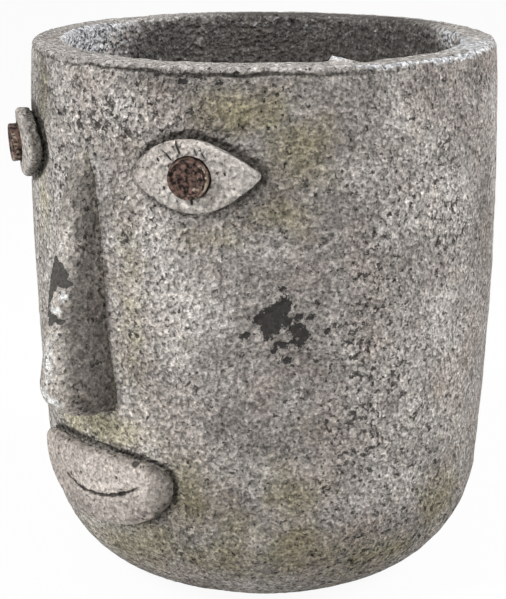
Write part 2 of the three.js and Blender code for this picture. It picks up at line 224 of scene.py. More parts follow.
def noise(tree, where, size, seed=None, **looks):
    """Cloudy noise of a size in metres. Each seed gives another pattern of the same kind."""
    fixed = isinstance(size, (int, float))
    links = {"Vector": where, "Scale": 1 / size if fixed else reckon(tree, "DIVIDE", 1.0, size), **looks}
    if seed is None:
        return add(tree, "ShaderNodeTexNoise", links)
    return add(tree, "ShaderNodeTexNoise", {**links, "W": seed}, noise_dimensions="4D")


def ramp(tree, value, start, end, low=0.0, high=1.0, curve="LINEAR"):
    """Takes a value from one range to another, and holds it at the ends."""
    links = {"Value": value, "From Min": start, "From Max": end, "To Min": low, "To Max": high}
    return add(tree, "ShaderNodeMapRange", links, interpolation_type=curve)


RELIEF_SIZES = [f"{kind} {what}" for kind in ("Wave", "Lump", "Sand", "Pore") for what in ("size", "depth")]


def new_tree(name, **others):
    """A tree of geometry nodes that takes a geometry, the sizes of its relief in metres and other inputs."""
    tree = bpy.data.node_groups.new(name, "GeometryNodeTree")
    kinds = {"Geometry": "Geometry", **dict.fromkeys(RELIEF_SIZES, "Float"), **others}
    for socket, kind in kinds.items():
        tree.interface.new_socket(socket, in_out="INPUT", socket_type="NodeSocket" + kind)
    tree.interface.new_socket("Geometry", in_out="OUTPUT", socket_type="NodeSocketGeometry")
    return tree, add(tree, "NodeGroupInput").outputs


def store(tree, geometry, name, value):
    """Gives a geometry's points a named value."""
    links = {"Geometry": geometry, "Name": name, "Value": value}
    return add(tree, "GeometryNodeStoreNamedAttribute", links, data_type="FLOAT", domain="POINT")


PORE_ZONE = 38  # pores lie in zones of about this size


def cement_relief():
    """Moves a surface as hand-rubbed cement lies, and opens pores in it, but not where calm is 1."""
    tree, given = new_tree("cement relief")
    place = add(tree, "GeometryNodeInputPosition")
    height, shown = None, None
    for seed, kind in enumerate(("Wave", "Lump", "Sand")):
        lumps = noise(tree, place, given[kind + " size"], seed=3.0 * seed)
        swing = reckon(tree, "SUBTRACT", lumps, 0.5)
        swing = reckon(tree, "MULTIPLY", swing, given[kind + " depth"])
        height = reckon(tree, "ADD", swing, height) if height else swing
        if kind != "Wave":
            shown = reckon(tree, "ADD", lumps, shown) if shown else lumps
    scale = reckon(tree, "DIVIDE", 1.0, given["Pore size"])
    cells = add(tree, "ShaderNodeTexVoronoi", {"Vector": place, "Scale": scale})
    open_here = noise(tree, place, PORE_ZONE * MM, seed=20.0)
    chance = add(tree, "ShaderNodeSeparateXYZ", {0: cells.outputs["Color"]})
    chance = reckon(tree, "ADD", chance, open_here)
    chance = reckon(tree, "GREATER_THAN", chance, 1.0)
    pit = ramp(tree, cells.outputs["Distance"], 0.34, 0.14, curve="SMOOTHSTEP")
    pore = reckon(tree, "MULTIPLY", pit, chance)
    sunk = reckon(tree, "MULTIPLY", pore, given["Pore depth"])
    height = reckon(tree, "SUBTRACT", height, sunk)
    calm = add(tree, "GeometryNodeInputNamedAttribute", {"Name": "calm"}, data_type="FLOAT")
    lively = reckon(tree, "SUBTRACT", 1.0, calm)
    height = reckon(tree, "MULTIPLY", height, lively)
    offset = scaled(tree, add(tree, "GeometryNodeInputNormal"), height)
    hollow = reckon(tree, "MULTIPLY", shown, 0.5)
    geometry = store(tree, given["Geometry"], "pore", pore)
    geometry = store(tree, geometry, "relief", hollow)
    moved = add(tree, "GeometryNodeSetPosition", {"Geometry": geometry, "Offset": offset})
    add(tree, "NodeGroupOutput", {"Geometry": moved})
    return tree


CEMENT_RELIEF = cement_relief()


def end_tree(tree, geometry, given):
    """The end of a tree: the cement relief, real geometry and the material."""
    links = {size: given[size] for size in RELIEF_SIZES}
    rough = add(tree, "GeometryNodeGroup", {"Geometry": geometry, **links}, node_tree=CEMENT_RELIEF)
    smooth = add(tree, "GeometryNodeSetShadeSmooth", {"Geometry": rough})
    real = add(tree, "GeometryNodeRealizeInstances", {"Geometry": smooth})
    painted = add(tree, "GeometryNodeSetMaterial", {"Geometry": real, "Material": given["Finish"]})
    add(tree, "NodeGroupOutput", {"Geometry": painted})


def cast_shell_tree():
    """Turns a section about the pot's axis into a closed shell. Its points carry how calm each row is."""
    tree, given = new_tree("cast shell", Axis="Float", Columns="Int", Finish="Material")
    rows = add(tree, "GeometryNodeAttributeDomainSize", {"Geometry": given["Geometry"]}, component="MESH")
    more_columns = reckon(tree, "ADD", given["Columns"], 1.0)
    more_rows = reckon(tree, "ADD", rows, 1.0)
    grid = add(tree, "GeometryNodeMeshGrid",
               {"Size X": 1.0, "Size Y": 1.0, "Vertices X": more_columns, "Vertices Y": more_rows})
    place = add(tree, "GeometryNodeInputPosition")
    half = add(tree, "ShaderNodeVectorMath", {0: place, 1: (0.5, 0.5, 0.0)}, operation="ADD")
    share = add(tree, "ShaderNodeSeparateXYZ", {0: half})
    row = reckon(tree, "MULTIPLY", share.outputs["Y"], rows)
    row = reckon(tree, "ROUND", row)
    row = reckon(tree, "MODULO", row, rows)

    def at_row(value, kind):
        links = {"Geometry": given["Geometry"], "Value": value, "Index": row}
        return add(tree, "GeometryNodeSampleIndex", links, data_type=kind, domain="POINT")

    calm = add(tree, "GeometryNodeInputNamedAttribute", {"Name": "calm"}, data_type="FLOAT")
    calm = at_row(calm, "FLOAT")
    spot = add(tree, "ShaderNodeSeparateXYZ", {0: at_row(place, "FLOAT_VECTOR")}).outputs
    angle = reckon(tree, "MULTIPLY", share.outputs["X"], TURN)
    across = reckon(tree, "MULTIPLY", spot["X"], reckon(tree, "SINE", angle))
    ahead = reckon(tree, "MULTIPLY", spot["X"], reckon(tree, "COSINE", angle))
    ahead = reckon(tree, "SUBTRACT", given["Axis"], ahead)
    turned_place = add(tree, "ShaderNodeCombineXYZ", {"X": across, "Y": ahead, "Z": spot["Z"]})
    calmed = store(tree, grid, "calm", calm)
    turned_grid = add(tree, "GeometryNodeSetPosition", {"Geometry": calmed, "Position": turned_place})
    closed = add(tree, "GeometryNodeMergeByDistance", {"Geometry": turned_grid, "Distance": 0.001 * MM})
    end_tree(tree, closed, given)
    return tree


def worked(piece, tree, finish, wave, lump, sand, pore, **others):
    """Runs a tree on a piece and leaves the result as its plain mesh. Each kind of relief has a size, which
    for pores is how far apart they lie, and a depth."""
    values = {"Finish": finish, **others}
    for name, size in zip(RELIEF_SIZES, (*wave, *lump, *sand, *pore)):
        values[name] = size * MM
    modifier = piece.modifiers.new(tree.name, "NODES")
    modifier.node_group = tree
    for item in tree.interface.items_tree:
        if item.in_out == "INPUT" and item.name in values:
            modifier[item.identifier] = values[item.name]
    keep_result(piece)


def keep_result(piece):
    """Turns a piece with its modifiers into a plain mesh."""
    evaluated = piece.evaluated_get(bpy.context.evaluated_depsgraph_get())
    made = bpy.data.meshes.new_from_object(evaluated)
    plain = piece.data
    piece.modifiers.clear()
    piece.data = made
    bpy.data.meshes.remove(plain)
    made.name = piece.name


def linear(code):
    """A colour for a shader, from its sRGB hex code."""
    parts = [int(code[i:i + 2], 16) / 255 for i in (1, 3, 5)]
    return (*(c / 12.92 if c <= 0.04045 else ((c + 0.055) / 1.055) ** 2.4 for c in parts), 1.0)


def new_material(name):
    """A material and its tree, still empty."""
    material = bpy.data.materials.new(name)
    material.use_nodes = True
    material.node_tree.nodes.clear()
    return material, material.node_tree


def field(tree, name):
    """What paint() has given a piece's points under a name."""
    return add(tree, "ShaderNodeAttribute", attribute_name=name).outputs["Fac"]


def blend(tree, share, first, second):
    """A colour that goes from the first to the second by a share."""
    return add(tree, "ShaderNodeMix", {0: share, 6: first, 7: second}, data_type="RGBA").outputs[2]


CLOUD_SIZE, BLUSH_SIZE, PIT_ZONE = 34, 21, 30  # of the cement's patterns
GRIT_SIZE, SAND_SIZE, GRAIN_SIZE, PIT_SIZE = 2.3, 1.3, 1.4, 2.3
GRAIN_BEND = 1.6  # keeps the grains from looking like cells
BARE_SEED = 30
BLUSH = "#9a8d86"


def weathered_cement(name, pale, dark, stains=(), bare=(), speckle=1.0):
    """Cast cement out of doors: cloudy grey, sandy with pale grains and dark pits, stained under the sand's
    light and shade, and bare of it in chips with pale edges. A stain is an attribute, a colour, the size and
    share of its ragged edge, its softness and its strength. The sand is drawn at 1.3 to 2.3 mm, coarser than
    real, so that it shows."""
    material, tree = new_material(name)
    where = add(tree, "ShaderNodeTexCoord").outputs["Object"]
    clouds = noise(tree, where, CLOUD_SIZE * MM, Detail=5.0, Roughness=0.6)
    clouds = ramp(tree, clouds, 0.3, 0.7)
    tone = reckon(tree, "MULTIPLY_ADD", field(tree, "tone"), 0.75, clouds)
    colour = blend(tree, tone, linear(dark), linear(pale))
    drift = noise(tree, where, BLUSH_SIZE * MM, seed=4.0, Detail=3.0)
    colour = blend(tree, ramp(tree, drift, 0.45, 0.75, 0.0, 0.55), colour, linear(BLUSH))

    def stained(colour, seed, attribute, code, ragged, share, softness, strength, limit=0.5):
        edge = noise(tree, where, ragged * MM, seed=10.0 + seed, Detail=4.0, Roughness=0.65)
        edge = reckon(tree, "SUBTRACT", edge, 0.5)
        spread = reckon(tree, "MULTIPLY_ADD", edge, 2 * share, field(tree, attribute))
        mask = ramp(tree, spread, limit - softness, limit + softness, 0.0, strength, "SMOOTHSTEP")
        code = linear(code) if isinstance(code, str) else code
        return blend(tree, mask, colour, code), mask

    for seed, stain in enumerate(stains):
        colour, _ = stained(colour, seed, *stain)
    grit = noise(tree, where, GRIT_SIZE * MM, seed=5.0, Detail=0.8, Roughness=0.6)
    light = ramp(tree, grit, 0.34, 0.66, 1 - 0.26 * speckle, 1 + 0.22 * speckle)
    sand = noise(tree, where, SAND_SIZE * MM, Detail=2.0, Roughness=0.6)
    dark_speck = ramp(tree, sand, 0.44, 0.39, 1.0, 1 - 0.43 * speckle)
    pale_speck = ramp(tree, sand, 0.57, 0.62, 1.0, 1 + 0.42 * speckle)
    bent = scaled(tree, sand.outputs["Color"], GRAIN_BEND * MM)
    bent = add(tree, "ShaderNodeVectorMath", {0: where, 1: bent}, operation="ADD")
    grains = add(tree, "ShaderNodeTexVoronoi", {"Vector": bent, "Scale": 1 / (GRAIN_SIZE * MM)})
    grain = add(tree, "ShaderNodeSeparateXYZ", {0: grains.outputs["Color"]})
    grain = ramp(tree, grain, 0.0, 1.0, 1 - 0.2 * speckle, 1 + 0.2 * speckle)
    raised = ramp(tree, field(tree, "relief"), 0.35, 0.65, 0.9, 1.08)
    zone = noise(tree, where, PIT_ZONE * MM, seed=8.0)
    zone = reckon(tree, "ADD", zone, field(tree, "porous"))
    pits = noise(tree, where, PIT_SIZE * MM, seed=6.0, Detail=3.0, Roughness=0.65)
    pits = reckon(tree, "MULTIPLY_ADD", zone, 0.15, pits)
    open_pit = ramp(tree, pits, 0.695, 0.725, 1.0, 0.2)
    in_pore = ramp(tree, field(tree, "pore"), 0.0, 1.0, 1.0, 0.72)
    for shade in (dark_speck, pale_speck, grain, raised, open_pit, in_pore):
        light = reckon(tree, "MULTIPLY", light, shade)
    colour = scaled(tree, colour, light).outputs[0]
    stand = ramp(tree, field(tree, "inside"), 0.0, 1.0, 5.0, 2.0)
    height = reckon(tree, "MULTIPLY", grit, stand)
    height = reckon(tree, "MULTIPLY_ADD", open_pit, 0.8, height)
    for attribute, edge_code, code, ragged, share, softness, strength in bare:
        edge = (attribute, edge_code, ragged, share)
        colour, _ = stained(colour, BARE_SEED, *edge, softness=0.1, strength=0.6, limit=0.36)
        core = scaled(tree, linear(code)[:3], ramp(tree, sand, 0.35, 0.65, 0.55, 1.6))
        colour, mask = stained(colour, BARE_SEED, attribute, core, ragged, share, softness, strength)
        flat = reckon(tree, "SUBTRACT", 1.0, mask)
        height = reckon(tree, "MULTIPLY", height, flat)
    bump = add(tree, "ShaderNodeBump", {"Height": height, "Strength": 1.0, "Distance": speckle * MM})
    surface = add(tree, "ShaderNodeBsdfPrincipled",
                  {"Base Color": colour, "Roughness": 0.93, "Specular IOR Level": 0.25, "Normal": bump})
    add(tree, "ShaderNodeOutputMaterial", {"Surface": surface})
    return material


def spots(azimuth, level, places):
    """A field on the wall from soft spots: azimuth, level, half width, half height and strength of each."""
    field = np.zeros(len(level))
    for spot_azimuth, spot_level, wide, high, strength in places:
        across = across_wall(azimuth, spot_azimuth) / wide
        field = np.maximum(field, strength * np.exp(-across ** 2 - ((level - spot_level) / high) ** 2))
    return field


def between(values, start, end):
    """How far values have come from a start to an end: 0 before the start and 1 past the end."""
    return np.clip((values - start) / (end - start), 0, 1)


MOSS = [
    (42, 214, 24, 9, 0.85), (54, 200, 15, 16, 0.75), (50, 175, 14, 10, 0.7), (34, 165, 20, 6, 0.55),
    (-19, 214, 8, 14, 0.7), (14, 140, 5, 50, 0.3), (27, 58, 14, 20, 0.8), (3, 26, 34, 12, 0.85),
    (14, 34, 24, 11, 0.8), (38, 48, 15, 13, 0.6), (52, 57, 16, 14, 0.7), (36, 30, 30, 16, 0.65),
    (55, 34, 24, 16, 0.8), (78, 24, 30, 12, 0.7), (98, 42, 18, 20, 0.75), (140, 60, 24, 30, 0.8),
    (190, 35, 40, 16, 0.85), (225, 140, 18, 40, 0.6), (262, 48, 26, 22, 0.8), (310, 90, 16, 36, 0.7),
    (160, 205, 26, 12, 0.6),
]
LICHEN = [(4, 80, 21, 9, 1.0), (-9, 79, 14, 9, 0.9), (-19, 170, 9, 26, 0.55), (14, 130, 10, 46, 0.4)]
TONE = [  # paler
    # (4, 79) and (13, 76), under the nose, are painted light that lifts the nose's shadow.
    (27, 128, 15, 40, 0.4), (97, 152, 12, 50, 0.25), (103, 192, 10, 24, 0.35), (4, 79, 20, 9, 2.4),
    (13, 76, 12, 8, 2.0), (1, 214, 10, 14, 0.6), (20, 160, 14, 18, 1.0), (-10, 176, 8, 20, 0.5),
    (77, 217, 16, 9, 0.6), (84, 171, 12, 16, 0.4), (80, 44, 16, 10, 0.5), (-8, 30, 16, 18, 0.9),
    (-10, 120, 16, 40, 0.3), (72, 80, 18, 24, 0.3), (250, 120, 30, 50, 0.4),
]
WASH = [  # darker, where rain runs and splashes
    # Those near the foot and just under the rim are partly painted shade as well as stains.
    (63, 168, 24, 26, 0.4), (57, 207, 32, 14, 0.7), (79, 137, 20, 40, 0.1), (51, 125, 16, 16, 0.45),
    (43, 86, 26, 26, 0.65), (40, 214, 26, 9, 1.0), (74, 221, 60, 9, 0.85), (48, 178, 16, 12, 0.8),
    (50, 38, 20, 14, 0.5), (45, 24, 70, 16, 0.6), (74, 26, 44, 16, 1.7), (46, 60, 24, 14, 0.45),
    (34, 44, 24, 14, 0.5), (112, 140, 14, 60, 0.3), (110, 30, 40, 18, 0.6), (35, 152, 14, 20, 0.15),
    (200, 180, 40, 30, 0.4), (150, 110, 30, 40, 0.35), (230, 26, 80, 16, 0.7), (26, 224, 26, 6, 0.9),
    (56, 223, 16, 8, 1.0), (103, 205, 12, 30, 0.6), (50, 149, 22, 10, 0.75), (43, 142, 14, 10, 0.5),
    (53, 111, 26, 15, 1.0), (37, 54, 22, 24, 1.0), (66, 229, 30, 5, 1.0), (22, 229, 20, 5, 0.8),
    (36, 222, 14, 7, 0.9), (104, 222, 16, 12, 1.0), (112, 180, 8, 30, 0.7), (57, 139, 18, 16, 0.7),
    (78, 94, 8, 12, 0.8), (84, 140, 10, 8, 0.5), (-21, 219, 10, 12, 0.5), (44, 196, 8, 8, 0.4),
]
POROUS = [
    (72, 110, 26, 60, 0.5), (92, 165, 18, 30, 0.35), (5, 206, 22, 12, 0.8), (-8, 190, 12, 20, 0.4),
    (14, 132, 7, 44, 0.3), (78, 30, 40, 22, 0.45), (180, 120, 50, 60, 0.4), (-70, 150, 30, 60, 0.35),
]
CHIPS = [  # on the cheek, under the rim and at the back
    (45.4, 133.2, 3.6, 2.8, 1.15), (48.2, 135.2, 4.8, 4.0, 1.5), (50.4, 138.8, 3.0, 3.8, 1.3),
    (47.4, 130.0, 4.2, 3.0, 1.4), (51.0, 132.0, 3.6, 2.4, 1.0), (53.2, 129.2, 3.8, 2.4, 1.1),
    (54.9, 126.6, 2.8, 3.6, 1.25), (46.6, 126.6, 2.0, 2.4, 1.0), (53.4, 123.6, 3.8, 2.0, 1.1),
    (49.8, 123.0, 3.6, 1.8, 1.0), (48.2, 120.6, 2.2, 1.8, 1.0), (16.0, 228.0, 1.6, 0.8, 1.0),
    (21.5, 226.6, 2.0, 0.8, 1.0), (27.5, 224.8, 3.4, 1.2, 1.1), (31.0, 226.8, 4.0, 0.7, 1.0),
    (36.4, 224.6, 1.8, 1.2, 1.0), (53.8, 133.8, 2.2, 2.2, 1.1), (56.8, 133.8, 2.2, 1.5, 1.05),
    (41.9, 126.4, 2.4, 1.8, 1.05), (51.2, 116.2, 3.0, 1.5, 1.05), (49.8, 145.2, 1.8, 1.4, 1.0),
    (60.3, 127.7, 1.8, 1.4, 1.0), (-150, 92, 4.6, 3.4, 1.2), (-146, 89, 3.4, 2.4, 1.1),
    (172, 228, 5.0, 2.2, 0.9), (-75, 60, 3.4, 2.6, 1.1),
]
CHIP_DEPTH = 0.9
CRACK_DOWN, CRACK_WIDTH, CRACK_DEPTH = 2.8, 0.85, 0.8  # the crack under the rim
CRACK_AZIMUTHS = [-64, -40, -20, 10, 18, 46, 52, 63, 74, 86]
CRACK_STRENGTHS = [0, 0.5, 0.7, 0.9, 1.35, 1.35, 0.9, 0.7, 0.6, 0]
CRACK_WAVES = [(9, 0, 1.0), (23, 40, 0.7), (41, 0, 0.5)]  # waves round the pot, start in degrees, share
FLAKE_AZIMUTH, FLAKE_LENGTH, FLAKE_HEIGHT = 63.6, 15.0, 2.4  # the broken flake that stands on the rim
NOTCH, NOTCH_DEPTH = [(71, RIM, 8, 8, 1.0)], 1.5  # beside the flake
BACK_RIM_AZIMUTH = 205  # the middle of the part of the rim that is as dark as the inside
RIM_DULL = [(-35, RIM, 50, 8, 1.3), (74, RIM, 22, 8, 0.9)]
RIM_BRIGHT = [(118, RIM, 44, 2.6, 0.58)]
INNER_EDGE_BRIGHT = [(-60, RIM, 32, 6, 0.95)]
OUTER_EDGE_BRIGHT = [(100, RIM, 34, 8, 1.2), (76, RIM, 24, 8, 0.9)]
INSIDE_PAINTED_LIGHT = [(-54, 226, 40, 20, 2.6), (150, 228, 13, 6, 1.2)]
UNDER_RIM_DIRT_AND_SHADE = [(30, 222, 34, 6, 0.24), (62, 222, 26, 6, 0.24)]

section = shell_section()
pot = new_piece("pot", np.stack([section[:, 0], np.full(len(section), -AXIS_Y), section[:, 1]], -1), [])
near_drain = section[:, 0] < SEAT_RADIUS + 4  # the plug's seat and the base stay smooth
on_base = section[:, 1] < 1
paint(pot, calm=np.where(near_drain | on_base, 1.0, 0.0))
pot_cement = weathered_cement(
    "weathered cast cement", "#bcb7b2", "#817c78",
    # The dark grime and seam stains are partly dirt and partly painted shade, and the pale worn stain is
    # partly wear and partly painted highlight.
    stains=[
        ("inside", "#3b3735", 3.0, 0.8, 0.4, 0.87),
        ("moss", "#7a7353", 13.0, 0.75, 0.5, 0.66),
        ("lichen", "#c0b997", 6.0, 0.6, 0.4, 0.62),
        ("rim", "#b0aba6", 5.0, 0.35, 0.4, 0.75),
        ("grime", "#2f2b27", 2.4, 0.55, 0.35, 0.88),
        ("worn", "#d4d6da", 2.2, 0.6, 0.2, 0.78),
        ("seam", "#35302b", 4.5, 0.3, 0.42, 0.86),
    ],
    bare=[("chip", "#c4bfb8", "#201e1d", 2.0, 1.3, 0.12, 0.97)],
    speckle=1.12,
)
worked(
    pot, cast_shell_tree(), pot_cement, wave=(70, 1.6), lump=(13, 1.0), sand=(4, 0.7), pore=(6, 1.0),
    Axis=AXIS_Y * MM, Columns=COLUMNS,
)

# Wear, painted shade and painted light on the pot's own points: first its shape, then how strongly each stain
# lies there.
points, normals = points_of(pot), normals_of(pot)
azimuth, level, out = off_wall(points)
outside = (out > -4) & (level < RIM - 0.5)
on_rim = between(level, RIM - 2.2, RIM - 0.6)
within = between(-out, WALL - 3.4, WALL - 0.8) * (level > 1)
chip = spots(azimuth, level, CHIPS) * outside
wander = sum(share * np.sin(np.radians(azimuth * waves + start)) for waves, start, share in CRACK_WAVES)
off_crack = level - RIM + CRACK_DOWN - 0.5 * wander
crack_share = np.interp(azimuth, CRACK_AZIMUTHS, CRACK_STRENGTHS)
crack = np.exp(-(off_crack / CRACK_WIDTH) ** 2) * crack_share * outside
flake_along = across_wall(azimuth, FLAKE_AZIMUTH)
flake = between(flake_along, -1.5, 0) * between(flake_along, FLAKE_LENGTH, 0) ** 0.7
flake = flake * between(-out, 8, 10) * between(level, RIM - 6, RIM - 3)
notch = spots(azimuth, level, NOTCH) * between(-out, 7, 11) * (level > RIM - 6)
shift = -CHIP_DEPTH * between(chip, 0.375, 1.0) - CRACK_DEPTH * crack
lift = FLAKE_HEIGHT * flake - NOTCH_DEPTH * notch
move_points(pot, points + normals * shift[:, None] + (0, 0, 1) * lift[:, None])

# The inside is painted darker further down, partly as stain and partly as painted shade, and paler on the
# inner wall on the left, as painted light.
deep_stain_and_shade = np.clip(1 - np.exp(-(RIM - 3 - level) / 9), 0, 1)  # the inside darkens below the rim
streaks = 0.5 + 0.5 * np.sin(np.radians(azimuth * 17 + 25 * np.sin(np.radians(azimuth * 5)))) ** 3
inside_painted_light = spots(azimuth, level, INSIDE_PAINTED_LIGHT)
dark_inside = within * (0.8 + 0.26 * deep_stain_and_shade + 0.12 * (streaks - 0.5)) * (1 - inside_painted_light)
from_back = np.abs(across_wall(azimuth, BACK_RIM_AZIMUTH))
back_rim = on_rim * between(from_back, 112, 42) * between(-out, 3.5, 6.0)
# The rim's inner edge on the left and outer edge on the right are painted paler, partly as wear and partly as
# painted highlight.
inner_edge = np.exp(-((out + WALL - 1.5) / 2.0) ** 2) * (level > RIM - 3)
outer_edge = np.exp(-((out + 1.0) / 1.0) ** 2) * (level > RIM - 3)
rim_wear_and_highlight = spots(azimuth, level, RIM_BRIGHT) + inner_edge * spots(azimuth, level, INNER_EDGE_BRIGHT)
rim_wear_and_highlight = np.maximum(rim_wear_and_highlight, outer_edge * spots(azimuth, level, OUTER_EDGE_BRIGHT))
splash_and_shade = 0.34 * between(level, 30, 8) + spots(azimuth, level, UNDER_RIM_DIRT_AND_SHADE)
paint(
    pot, chip=chip, seam=0.0,
    inside=np.maximum(dark_inside, back_rim),
    rim=on_rim * (1 - 0.5 * spots(azimuth, level, RIM_DULL)) - back_rim,
    moss=spots(azimuth, level, MOSS) * outside,
    lichen=spots(azimuth, level, LICHEN) * outside,
    porous=spots(azimuth, level, POROUS) * outside + 0.25 * np.clip(inside_painted_light, 0, 1) * within,
    worn=np.maximum(rim_wear_and_highlight, flake * 0.9) + (0.29 - 0.06 * deep_stain_and_shade + 0.27 * inside_painted_light) * within,
    tone=(spots(azimuth, level, TONE) - spots(azimuth, level, WASH)) * outside + 2.1 * inside_painted_light * within,
    # The crack's dark is partly dirt and partly painted shadow under the rim's edge; the foot and the band
    # under the rim are painted darker, partly as dirt and partly as painted shade.
    grime=np.maximum(crack * (0.9 + 0.12 * wander), splash_and_shade * outside),
)
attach(pot, "pot")
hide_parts("pot_shell")

# Nose
# A long wedge of the same cement, bedded on the wall in mortar that is smoothed out round its foot, so that
# no seam shows. Its front is rubbed pale and chipped, with a painted highlight on its tip. Its sides are
# painted darker by how they face, partly as dirt and partly as painted shade, and the wall to its right and
# under its nostril has painted shadow.
NOSE_TOP, NOSE_BOTTOM = 187.7, 87.5
NOSE_MIDDLE = (NOSE_TOP + NOSE_BOTTOM) / 2
NOSE_WIDTH, BRIDGE_WIDTH = 27.0, 8.0
NOSE_RISE, BRIDGE_RISE = 21.7, 2.4
NOSE_BULGE = 0.72  # of its front line: 1 is straight, less is fuller
NOSE_TIP_ROUND, NOSE_SIDE_ROUND = 12.0, 4.5  # from the front and from the sides to the underside
NOSE_WAIST = 1.7  # its sides are drawn in by this above the nostrils
WAIST_AT, WAIST_REACH = 0.74, 0.22  # as shares of the way down
NOSTRIL_FLARE = 1.3
NOSE_FULLNESS = 2.6  # of its section: 2 is an ellipse, more is squarer
NOSE_FADE = 8.0  # the bridge runs out into the brow over this height
NOSE_SUNK = 0.8  # its back lies this deep in the wall's rough face
NOSE_FLARE, NOSE_FLARE_RISE = 1.8, 1.4  # the mortar reaches this far round its foot, and up its sides
NOSE_VOXEL = 0.85
EASE_STEPS = 4  # rounds of smoothing on a new even mesh


def wall_reach(level):
    """How far from the pot's axis the outer wall stands at a level."""
    return -on_wall(0.0, level, 0.0)[1]


def skin(loops, first, last):
    """Points and faces of a closed surface over loops of as many points, drawn in to a point at both ends."""
    size = len(loops[0])
    points = np.concatenate([[first], *loops, [last]])
    end = len(points) - 1
    faces = []
    for i in range(size):
        j = (i + 1) % size
        faces.append((0, 1 + i, 1 + j))
        for row in range(len(loops) - 1):
            here = 1 + row * size
            faces.append((here + i, here + size + i, here + size + j, here + j))
        faces.append((end, end - size + j, end - size + i))
    return points, faces


def nose_half(share):
    """Half the nose's width a share of the way down from its top."""
    waist = NOSE_WAIST * math.exp(-((share - WAIST_AT) / WAIST_REACH) ** 2)
    return (BRIDGE_WIDTH + (NOSE_WIDTH - BRIDGE_WIDTH) * math.sqrt(share)) / 2 - waist


def nose_rows():
    """Level, half width and rise of each section of the nose, from the brow to its underside."""
    rows = []
    for share in np.arange(10) / 10:
        half = BRIDGE_WIDTH / 2 * (0.5 + share / 2)
        rows.append((NOSE_TOP + NOSE_FADE * (1 - share), half, BRIDGE_RISE * share ** 2))
    tip = NOSE_BOTTOM + NOSE_TIP_ROUND
    for share in np.linspace(0, 1, 50):
        rise = BRIDGE_RISE + (NOSE_RISE - BRIDGE_RISE) * share ** NOSE_BULGE
        rows.append((NOSE_TOP + (tip - NOSE_TOP) * share, nose_half(share), rise))
    for turn in np.linspace(0, TURN / 4, 14)[1:]:
        inset = 1 - math.cos(turn)
        half = nose_half(1) + NOSTRIL_FLARE * math.sin(turn) - NOSE_SIDE_ROUND * inset
        rows.append((tip - NOSE_TIP_ROUND * math.sin(turn), half, NOSE_RISE - NOSE_TIP_ROUND * inset))
    return rows


def squarer(wave, power):
    """A sine or a cosine with its sign, made squarer by a power below 1."""
    return np.sign(wave) * np.abs(wave) ** power


def nose_loop(level, half, rise):
    """One section of the nose, round from its left foot over the front and back behind it."""
    power = 2 / NOSE_FULLNESS
    turns = np.linspace(0, TURN / 2, 49)
    out = rise * squarer(np.sin(turns), power)
    across = -squarer(np.cos(turns), power) * (half + NOSE_FLARE * np.exp(-out / NOSE_FLARE_RISE))
    front = np.stack([across, out], -1)
    front[[0, -1], 1] = -NOSE_SUNK
    behind = np.stack([np.linspace(across[-1], across[0], 25), np.full(25, -NOSE_SUNK)], -1)[1:-1]
    loop = np.concatenate([front, behind])
    return on_wall(np.degrees(loop[:, 0] / wall_reach(level)), level, loop[:, 1])


def evened(piece, voxel):
    """Gives a piece an even mesh with its edges eased."""
    remesh = piece.modifiers.new("even", "REMESH")
    remesh.mode, remesh.voxel_size = "VOXEL", voxel * MM
    ease = piece.modifiers.new("ease", "SMOOTH")
    ease.factor, ease.iterations = 0.5, EASE_STEPS
    keep_result(piece)


def cement_skin_tree():
    """Gives a piece the cement's relief."""
    tree, given = new_tree("cement skin", Finish="Material")
    end_tree(tree, given["Geometry"], given)
    return tree


def line_distance(places, start, end):
    """How far places in a plane lie from a straight stretch."""
    start, along = np.array(start), np.array(end) - np.array(start)
    share = np.clip((places - start) @ along / (along @ along), 0, 1)
    return np.linalg.norm(places - start - share[:, None] * along, axis=1)


def rake_round(middle, middle_level, outline, wide, deep, shade_and_dirt, towards):
    """Rakes the wall out round an outline, most to the sides and up as given, and paints the seam there dark,
    partly as dirt and partly as painted shade.
    """
    points, normals = points_of(pot), normals_of(pot)
    azimuth, level, out = off_wall(points)
    across = across_wall(azimuth, middle) * wall_reach(middle_level) / BELLY_RADIUS
    places = np.stack([across, level - middle_level], -1)
    near = np.flatnonzero((np.abs(places) < np.abs(outline).max(0) + 3 * wide).all(1) & (out > -WALL / 2))
    places = places[near]
    ends = np.roll(outline, -1, 0)
    from_edge = np.min([line_distance(places, start, end) for start, end in zip(outline, ends)], axis=0)
    away = places * np.where(places < 0, (-1, 1), 1) / np.linalg.norm(places, axis=1)[:, None]
    side_share = 0.6 + 0.4 * away @ (np.array(towards) / np.linalg.norm(towards))
    raked = np.exp(-(from_edge / wide) ** 2) * side_share
    points[near] -= normals[near] * (deep * raked)[:, None]
    move_points(pot, points)
    seam = np.zeros(len(points), np.float32)
    pot.data.attributes["seam"].data.foreach_get("value", seam)
    seam[near] = np.maximum(seam[near], shade_and_dirt * raked)
    pot.data.attributes["seam"].data.foreach_set("value", seam)


